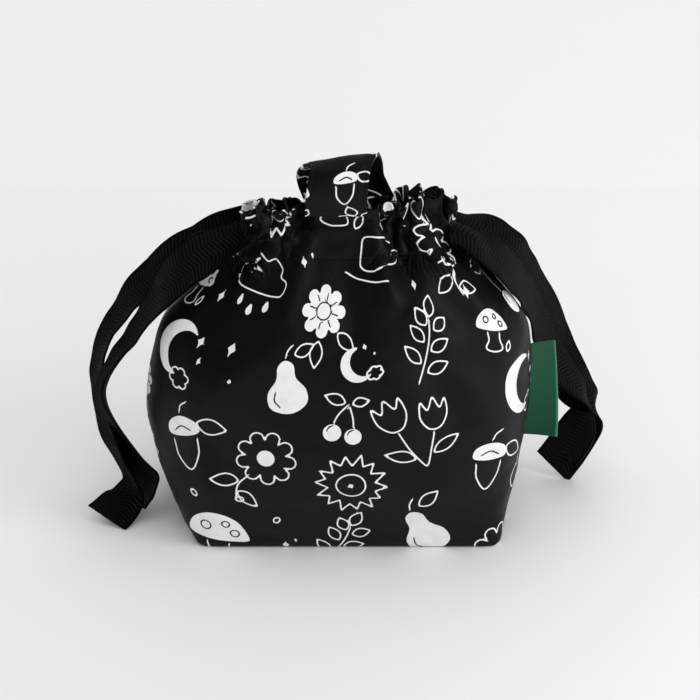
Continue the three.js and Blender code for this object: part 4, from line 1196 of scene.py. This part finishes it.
for side, shapes in (("front", PRINT_FRONT), ("back", PRINT_BACK)):
    sign = -1 if side == "front" else 1
    full, flip = SIDES[side]
    # body panel, from under the base edge to just inside the casing
    p = full[:, : J_LOW + 2].copy()
    t_body = t_all[: J_LOW + 2]
    n = normals_of(p, flip)
    p[:, -3:] -= n[:, -3:] * np.array([0.0, 0.02, 0.35])[None, :, None]
    under = grid_st(s_all, np.array([-6.0, -3.8, -1.8, -0.4]))
    rim = p[:, 0].copy()
    turn = []
    for inset, zz in ((6.5, 0.75), (3.8, 0.55), (1.7, 0.45), (0.35, 0.5)):
        inward = np.array([-0.5, 0.0, 0.0]) - rim
        inward[:, 2] = 0
        inward /= np.linalg.norm(inward, axis=1, keepdims=True)
        q = rim + inward * inset
        q[:, 2] = zz
        turn.append(q)
    p = np.concatenate([np.stack(turn, 1), p], 1)
    st = np.concatenate([under, grid_st(s_all, t_body)], 1)
    panel = sheet_solid(f"{side}_panel_cloth", p, 0.5, PRINTED, st, flip=flip)
    paint(panel, shapes, st)
    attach(panel, "pouch")
    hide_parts(f"outer_{side}_panel")

    # casing: the doubled band that holds the tapes
    p = full[:, J_LOW : J_HIGH + 1].copy()
    n = normals_of(p, flip)
    v = np.linspace(0, 1, p.shape[1])
    p += n * (0.03 + 0.05 * np.sin(math.pi * v))[None, :, None]
    st = grid_st(s_all, t_all[J_LOW : J_HIGH + 1])
    case = sheet_solid(f"{side}_casing_cloth", p, 0.5, PRINTED, st, flip=flip)
    paint(case, shapes, st)
    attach(case, "pouch")
    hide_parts(f"casing_{side}")
    nn = normals_of(p, flip)
    for row, tag in ((0, "lower"), (-1, "upper")):
        ob = stitches(f"{side}_casing_{tag}_stitching", p[2:-2, row] + nn[2:-2, row] * 0.02, nn[2:-2, row])
        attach(ob, "pouch")

    # heading: the folded top edge above the upper stitch line
    p = full[:, J_HIGH - 1 :].copy()
    n = normals_of(p, flip)
    v = np.clip(np.linspace(-0.15, 1, p.shape[1]), 0, 1)
    p += n * (0.05 + 0.35 * np.sin(math.pi * v * 0.8))[None, :, None]
    st = grid_st(s_all, t_all[J_HIGH - 1 :])
    head = sheet_solid(f"{side}_heading_cloth", p, 1.1, PRINTED, st, flip=flip)
    paint(head, shapes, st)
    n_out = p.shape[0] * p.shape[1]
    for nm in ("ink_pa", "ink_pu", "ink_qa", "ink_qu", "ink_da", "ink_du", "ink_f"):
        at = head.data.attributes[nm]
        vals = np.zeros(len(head.data.vertices), np.float32)
        at.data.foreach_get("value", vals)
        vals[n_out:] = vals[:n_out]
        at.data.foreach_set("value", vals)
    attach(head, "pouch")
    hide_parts(f"heading_{side}")

    # facing: the casing's inner wall, and the lining below it
    soft_all = blur(full, 5.0, 0)
    c = slice(0, None, 2)
    p = soft_all[c, J_LOW : J_HIGH + 2 : 2].copy()
    n = normals_of(p, flip)
    p -= n * 5.0
    p[..., 1] = sign * np.maximum(np.abs(p[..., 1]), 0.9)
    st = grid_st(s_all[c], t_all[J_LOW : J_HIGH + 2 : 2])
    face = sheet_solid(f"{side}_casing_facing_cloth", p, 0.5, PLAIN, st, flip=flip)
    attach(face, "pouch")
    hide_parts(f"casing_facing_{side}")

    soft_all = blur(blur(full[::4, ::3], 2.5, 0), 1.5, 1)
    keep = (t_all[::3] > 2.5) & (t_all[::3] < T_LOW - 1)
    p = soft_all[:, keep].copy()
    n = normals_of(p, flip)
    p -= n * 2.6
    p[..., 1] = sign * np.maximum(np.abs(p[..., 1]), 0.3)
    p[..., 2] = np.maximum(p[..., 2], 2.2)
    st = grid_st(s_all[::4], t_all[::3][keep])
    lin = sheet_solid(f"{side}_lining_cloth", p, 0.45, PLAIN, st, flip=flip)
    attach(lin, "pouch")
    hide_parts(f"lining_{side}")

# ------------------------------------------------------------------ base and its lining
for name, inset, z0, thick, mat, slot_, node, bow in (
    ("base_cloth", 1.2, 1.35, 0.5, PRINTED, "printed_cotton", "outer_base", 0.0),
    ("base_lining_cloth", 3.2, 2.75, 0.5, PLAIN, "lining_cotton", "lining_base", 0.35),
):
    nx, ny = 96, 64
    u, v = np.meshgrid(np.linspace(-1, 1, nx), np.linspace(-1, 1, ny), indexing="ij")
    k = 9.0
    # a square net drawn to a rounded rectangle
    r = np.maximum(np.abs(u), np.abs(v))
    ln = (np.abs(u) ** k + np.abs(v) ** k) ** (1 / k)
    q = np.where(ln > 1e-9, r / np.maximum(ln, 1e-9), 1)
    x = -0.5 + (83.5 - inset) * u * q
    y = (np.where(v < 0, 54.3, 53) - inset) * v * q
    zz = z0 + bow * noise2((nx, ny), (1, 1), 18, 71) * (1 - r**4)
    p = np.stack([x, y, zz], -1)
    st = np.stack([x, y - 53], -1)
    base = sheet_solid(name, p, thick, mat, st)
    if mat is PRINTED:
        paint(base, layout(19, 2, (-90, -110), (90, 10)), st)
    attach(base, "pouch")
    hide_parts(node)

# ------------------------------------------------------------------ strap
# left and right edge of the strap along its length: (x, y, z)
EDGE_L = [(-24.3, -17.3, 184.6), (-24.3, -17.4, 188.5), (-24.0, -17.0, 194), (-23.0, -15.6, 202), (-21.8, -12.5, 208.5), (-20.2, -6.5, 210.8), (-22.0, -0.5, 209), (-26.2, 5, 204.5), (-29.3, 10.5, 197.5), (-28.2, 14.6, 189), (-25.5, 15.2, 180.5)]
EDGE_R = [(9.2, -17.3, 184.6), (9.2, -17.4, 188.5), (9.4, -17.0, 195), (10.2, -15.5, 205), (11.5, -12, 212.5), (14.5, -5, 215.6), (16.4, 1.5, 213), (17.8, 7, 206.5), (18.6, 12.5, 197), (21.2, 15.2, 189), (24.4, 15.6, 182)]


def along(points, v):
    q = np.array(points, float)
    d = np.linspace(0, 1, len(q))
    h = d[1]
    sl = np.gradient(q, axis=0) / h
    i = np.clip((v / h).astype(int), 0, len(q) - 2)
    t = ((v - d[i]) / h)[:, None]
    return (2 * t**3 - 3 * t**2 + 1) * q[i] + (t**3 - 2 * t**2 + t) * h * sl[i] + (3 * t**2 - 2 * t**3) * q[i + 1] + (t**3 - t**2) * h * sl[i + 1]


nv_, nu_ = 111, 45
v = np.linspace(0, 1, nv_)
u = np.linspace(0, 1, nu_)
L_, R_ = along(EDGE_L, v), along(EDGE_R, v)
p = L_[None] * (1 - u)[:, None, None] + R_[None] * u[:, None, None]
n = normals_of(p)
if n[nu_ // 2, 10, 1] > 0:
    n = -n
    strap_flip = True
else:
    strap_flip = False
# bellies out a little between its edges, dips along the two stitch lines, and the back half is pinched
across = np.abs(u - 0.5) * 2
belly = 0.9 * (1 - across**2)[:, None] * np.sin(math.pi * v)[None, :] + 0.9 * np.exp(-(((u[:, None] - 0.1) / 0.14) ** 2)) * np.exp(-(((v[None, :] - 0.68) / 0.1) ** 2))
line_at = 1 - 2 * 2.4 / 34.0
dip = -0.28 * np.exp(-(((across - line_at) / 0.035) ** 2))[:, None]
wr = noise2((nu_, nv_), (0.8, 0.75), 11, 51) * 0.32 * np.sin(math.pi * v)[None, :] ** 0.5
p = p + n * (belly + dip + wr)[..., None]
st = np.stack(np.broadcast_arrays((u * 34.4)[:, None] - 30, (v * 88)[None, :] + 60), -1).astype(float)
strap = sheet_solid("strap_cloth", p, 1.9, PRINTED, st, flip=strap_flip)
PRINT_STRAP = layout(23, 7, (-60, 40), (30, 160))
# the same print shows on the strap's inner face
paint(strap, PRINT_STRAP, st)
n_strap = nu_ * nv_
for nm in ("ink_pa", "ink_pu", "ink_qa", "ink_qu", "ink_da", "ink_du", "ink_f"):
    a = strap.data.attributes[nm]
    vals = np.zeros(len(strap.data.vertices), np.float32)
    a.data.foreach_get("value", vals)
    vals[n_strap:] = 5.0 if nm == "ink_f" else vals[:n_strap]
    a.data.foreach_set("value", vals)
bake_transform(strap)
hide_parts("strap_outer", "strap_facing", "strap_root_front", "strap_root_back")
ns = normals_of(p, strap_flip)
for k, col in (("left", np.argmin(np.abs(u - 2.4 / 34.4))), ("right", np.argmin(np.abs(u - (1 - 2.4 / 34.4))))):
    ob = stitches(f"strap_{k}_stitching", p[col, 4:-4] + ns[col, 4:-4] * 0.03, ns[col, 4:-4])
    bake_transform(ob)

# ------------------------------------------------------------------ label
nu_, nv_ = 49, 58
loop = np.linspace(0, 1, nu_)
hv = np.linspace(0, 1, nv_)
# once round the fold: front layer out to the edge, back layer home again
out_x = 16.2 * (1 - np.abs(loop * 2 - 1))
gap = 0.62 * np.sqrt(np.clip(1 - (np.clip(np.abs(loop * 2 - 1), 0, 1)) ** 6, 0, 1)) * 0 + 0.0
half_t = 0.62 * np.sqrt(np.clip(1 - np.exp(-np.abs(loop * 2 - 1) * 14), 0, 1))
side_y = np.where(loop < 0.5, -half_t, half_t)
p = np.zeros((nu_, nv_, 3))
for j, h in enumerate(hv):
    z = 99 - 57 * h
    yaw = math.radians(31 - 43 * h + 3.0 * math.sin(3 * h))
    bow = 0.9 * np.sin(math.pi * out_x / 16.2) * (0.6 + 0.4 * math.sin(2.2 * h + 0.4))
    seam_x = float(np.interp(z, [42, 54, 80, 99], [95.4, 98.2, 99.6, 99.6]))
    dx, dy = out_x * (1 + (100.6 - seam_x) / 16.2) - (100.6 - seam_x), side_y + bow
    p[:, j, 0] = 100.6 + dx * math.cos(yaw) - dy * math.sin(yaw)
    p[:, j, 1] = dx * math.sin(yaw) + dy * math.cos(yaw)
    p[:, j, 2] = z - 2.2 * (out_x / 16.2) * (1 - h) + 0.15 * math.sin(9 * h) * out_x / 16
st = np.stack(np.broadcast_arrays((16.2 * (1 - np.abs(loop * 2 - 1)))[:, None], (hv * 57)[None, :]), -1).astype(float)
n = normals_of(p)
flip = n[8, 20, 1] > 0
label = sheet_solid("side_label_ribbon", p, 0.45, GREEN, st, flip=bool(flip))
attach(label, "label")
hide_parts("side_label")

# ------------------------------------------------------------------ tapes inside the casings
def casing_at(side, x):
    """Mid height of a casing at each x, and how deep its cloth lies there at the least."""
    q = SIDES[side][0][:, J_LOW : J_HIGH + 1].reshape(-1, 3)
    mid, depth = np.zeros(len(x)), np.zeros(len(x))
    for i, xi in enumerate(x):
        near_ = np.abs(q[:, 0] - xi) < 2.5
        mid[i] = 0.5 * (np.percentile(q[near_, 2], 2) + np.percentile(q[near_, 2], 98))
        depth[i] = np.percentile(np.abs(q[near_, 1]), 2)
    ker = np.exp(-np.linspace(-2, 2, 13) ** 2)
    ker /= ker.sum()
    # the least within the tape's own travel, to either side
    lowest = np.array([depth[np.abs(x - xi) < 9.5].min() for xi in x])
    calm_ = lambda a: np.convolve(np.pad(a, 6, "edge"), ker, "same")[6:-6]
    level = np.array([mid[np.abs(x - xi) < 9.5].mean() for xi in x])
    return calm_(level), calm_(lowest)


for name, up, near, far, body, seed in (("left", 5.0, -57.2, 54.5, "left_tape", 61), ("right", -5.0, 54.2, -57.5, "right_tape", 62)):
    way = 1 if far > near else -1
    x = np.linspace(near, far, 120)
    runs = []
    for side, sign in (("front", -1), ("back", 1)):
        _, c, _, ps = strands[f"{name}_tape_{side}_strand"]
        w_exit = ps[-1, 0] - ps[0, 0]
        mid, deep = casing_at(side, x)
        lead = 1 - smooth(0, 16, np.abs(x - near))
        q = np.stack([x + lead * (c[0, 0] - near) * (1 - np.abs(x - near) / 16).clip(0, 1), sign * np.clip(deep - 2.2, 1.5, 13.0), mid + up], -1)
        q[:, 1] = q[:, 1] * (1 - lead) + c[0, 1] * lead
        q[:, 2] = q[:, 2] * (1 - lead) + c[0, 2] * lead
        wide_ = lead[:, None] * w_exit[None] + (1 - lead)[:, None] * np.array([0, 0, 6.6])[None]
        runs.append((q, wide_))
    (qf, wf), (qb, wb) = runs
    tt = np.linspace(-math.pi / 2, math.pi / 2, 20)[1:-1]
    half_ = 0.5 * (qb[-1, 1] - qf[-1, 1])
    turn = np.stack([far + way * min(4.0, half_) * np.cos(tt), 0.5 * (qb[-1, 1] + qf[-1, 1]) + half_ * np.sin(tt), np.linspace(qf[-1, 2], qb[-1, 2], len(tt))], -1)
    line = np.concatenate([qf, turn, qb[::-1]])
    wide_ = np.concatenate([wf, np.tile([0, 0, 6.6], (len(tt), 1)), wb[::-1]])
    d = np.concatenate([[0], np.cumsum(np.linalg.norm(np.diff(line, axis=0), axis=1))])
    h = np.linspace(-0.5, 0.5, 19)
    tx, ty = np.gradient(line[:, 0]), np.gradient(line[:, 1])
    ln = np.hypot(tx, ty)
    side_n = np.stack([ty / ln, -tx / ln, np.zeros(len(d))], -1)
    wave = 0.3 * np.sin(h * math.pi * 3)[None, :] * (0.8 + 0.2 * noise1(d, 12, seed))[:, None]
    p = line[:, None] + wide_[:, None] * h[None, :, None] + side_n[:, None] * wave[..., None]
    st = np.stack(np.broadcast_arrays(d[:, None], ((h + 0.5) * 25)[None, :]), -1).astype(float)[..., ::-1]
    run = sheet_solid(f"{name}_tape_inside", p, 0.9, TAPE, st, centred=True)
    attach(run, body)
    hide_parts(f"{name}_tape_front_run", f"{name}_tape_back_run", f"{name}_tape_turn")

# ------------------------------------------------------------------ floor and light
floor_mat, nt, bsdf = material("floor")
N = Nodes(nt)
tc = N.new("ShaderNodeTexCoord")
gx, gy, _ = N.xyz(tc.outputs["Object"])
far_ = N.ramp(gy, 0.424, 0.434)
soft = N.noise(tc.outputs["Object"], 3.0, 3.0)
tone = N.mix(soft, (0.83, 0.83, 0.835, 1), (0.86, 0.86, 0.865, 1))
N.put(bsdf.inputs["Base Color"], N.mix(far_, tone, (0.86, 0.86, 0.84, 1)))
bsdf.inputs["Roughness"].default_value = 0.55
bsdf.inputs["Specular IOR Level"].default_value = 0.25
bm = bmesh.new()
bmesh.ops.create_grid(bm, x_segments=8, y_segments=8, size=6.0)
me = bpy.data.meshes.new("floor")
bm.to_mesh(me)
bm.free()
floor = bpy.data.objects.new("floor", me)
scene.collection.objects.link(floor)
me.materials.append(floor_mat)

world = bpy.data.worlds.new("world")
scene.world = world
world.use_nodes = True
world.node_tree.nodes["Background"].inputs[0].default_value = (0.99, 0.99, 1.0, 1)
world.node_tree.nodes["Background"].inputs[1].default_value = 0.66
world.cycles_visibility.glossy = False


def area(name, at, aim, size, power, colour=(1, 1, 1)):
    d = bpy.data.lights.new(name, "AREA")
    d.shape = "RECTANGLE"
    d.size, d.size_y = size
    d.energy = power
    d.color = colour
    o = bpy.data.objects.new(name, d)
    scene.collection.objects.link(o)
    o.location = at
    o.rotation_mode = "QUATERNION"
    o.rotation_quaternion = (Vector(aim) - Vector(at)).to_track_quat("-Z", "Y")
    return o


area("key", (1.4, -0.62, 0.78), (0, 0, 0.13), (0.7, 0.7), 9.5, (1.0, 0.995, 0.99))
area("top", (-0.25, 0.45, 2.5), (0, 0, 0), (3.4, 3.4), 18)
area("fill", (0.65, -1.85, 1.05), (0, 0, 0.1), (1.1, 0.8), 4.8, (0.97, 0.98, 1.0))
area("rim", (0.3, 1.6, 1.1), (0, 0, 0.12), (1.6, 0.9), 5, (0.96, 0.98, 1.0))
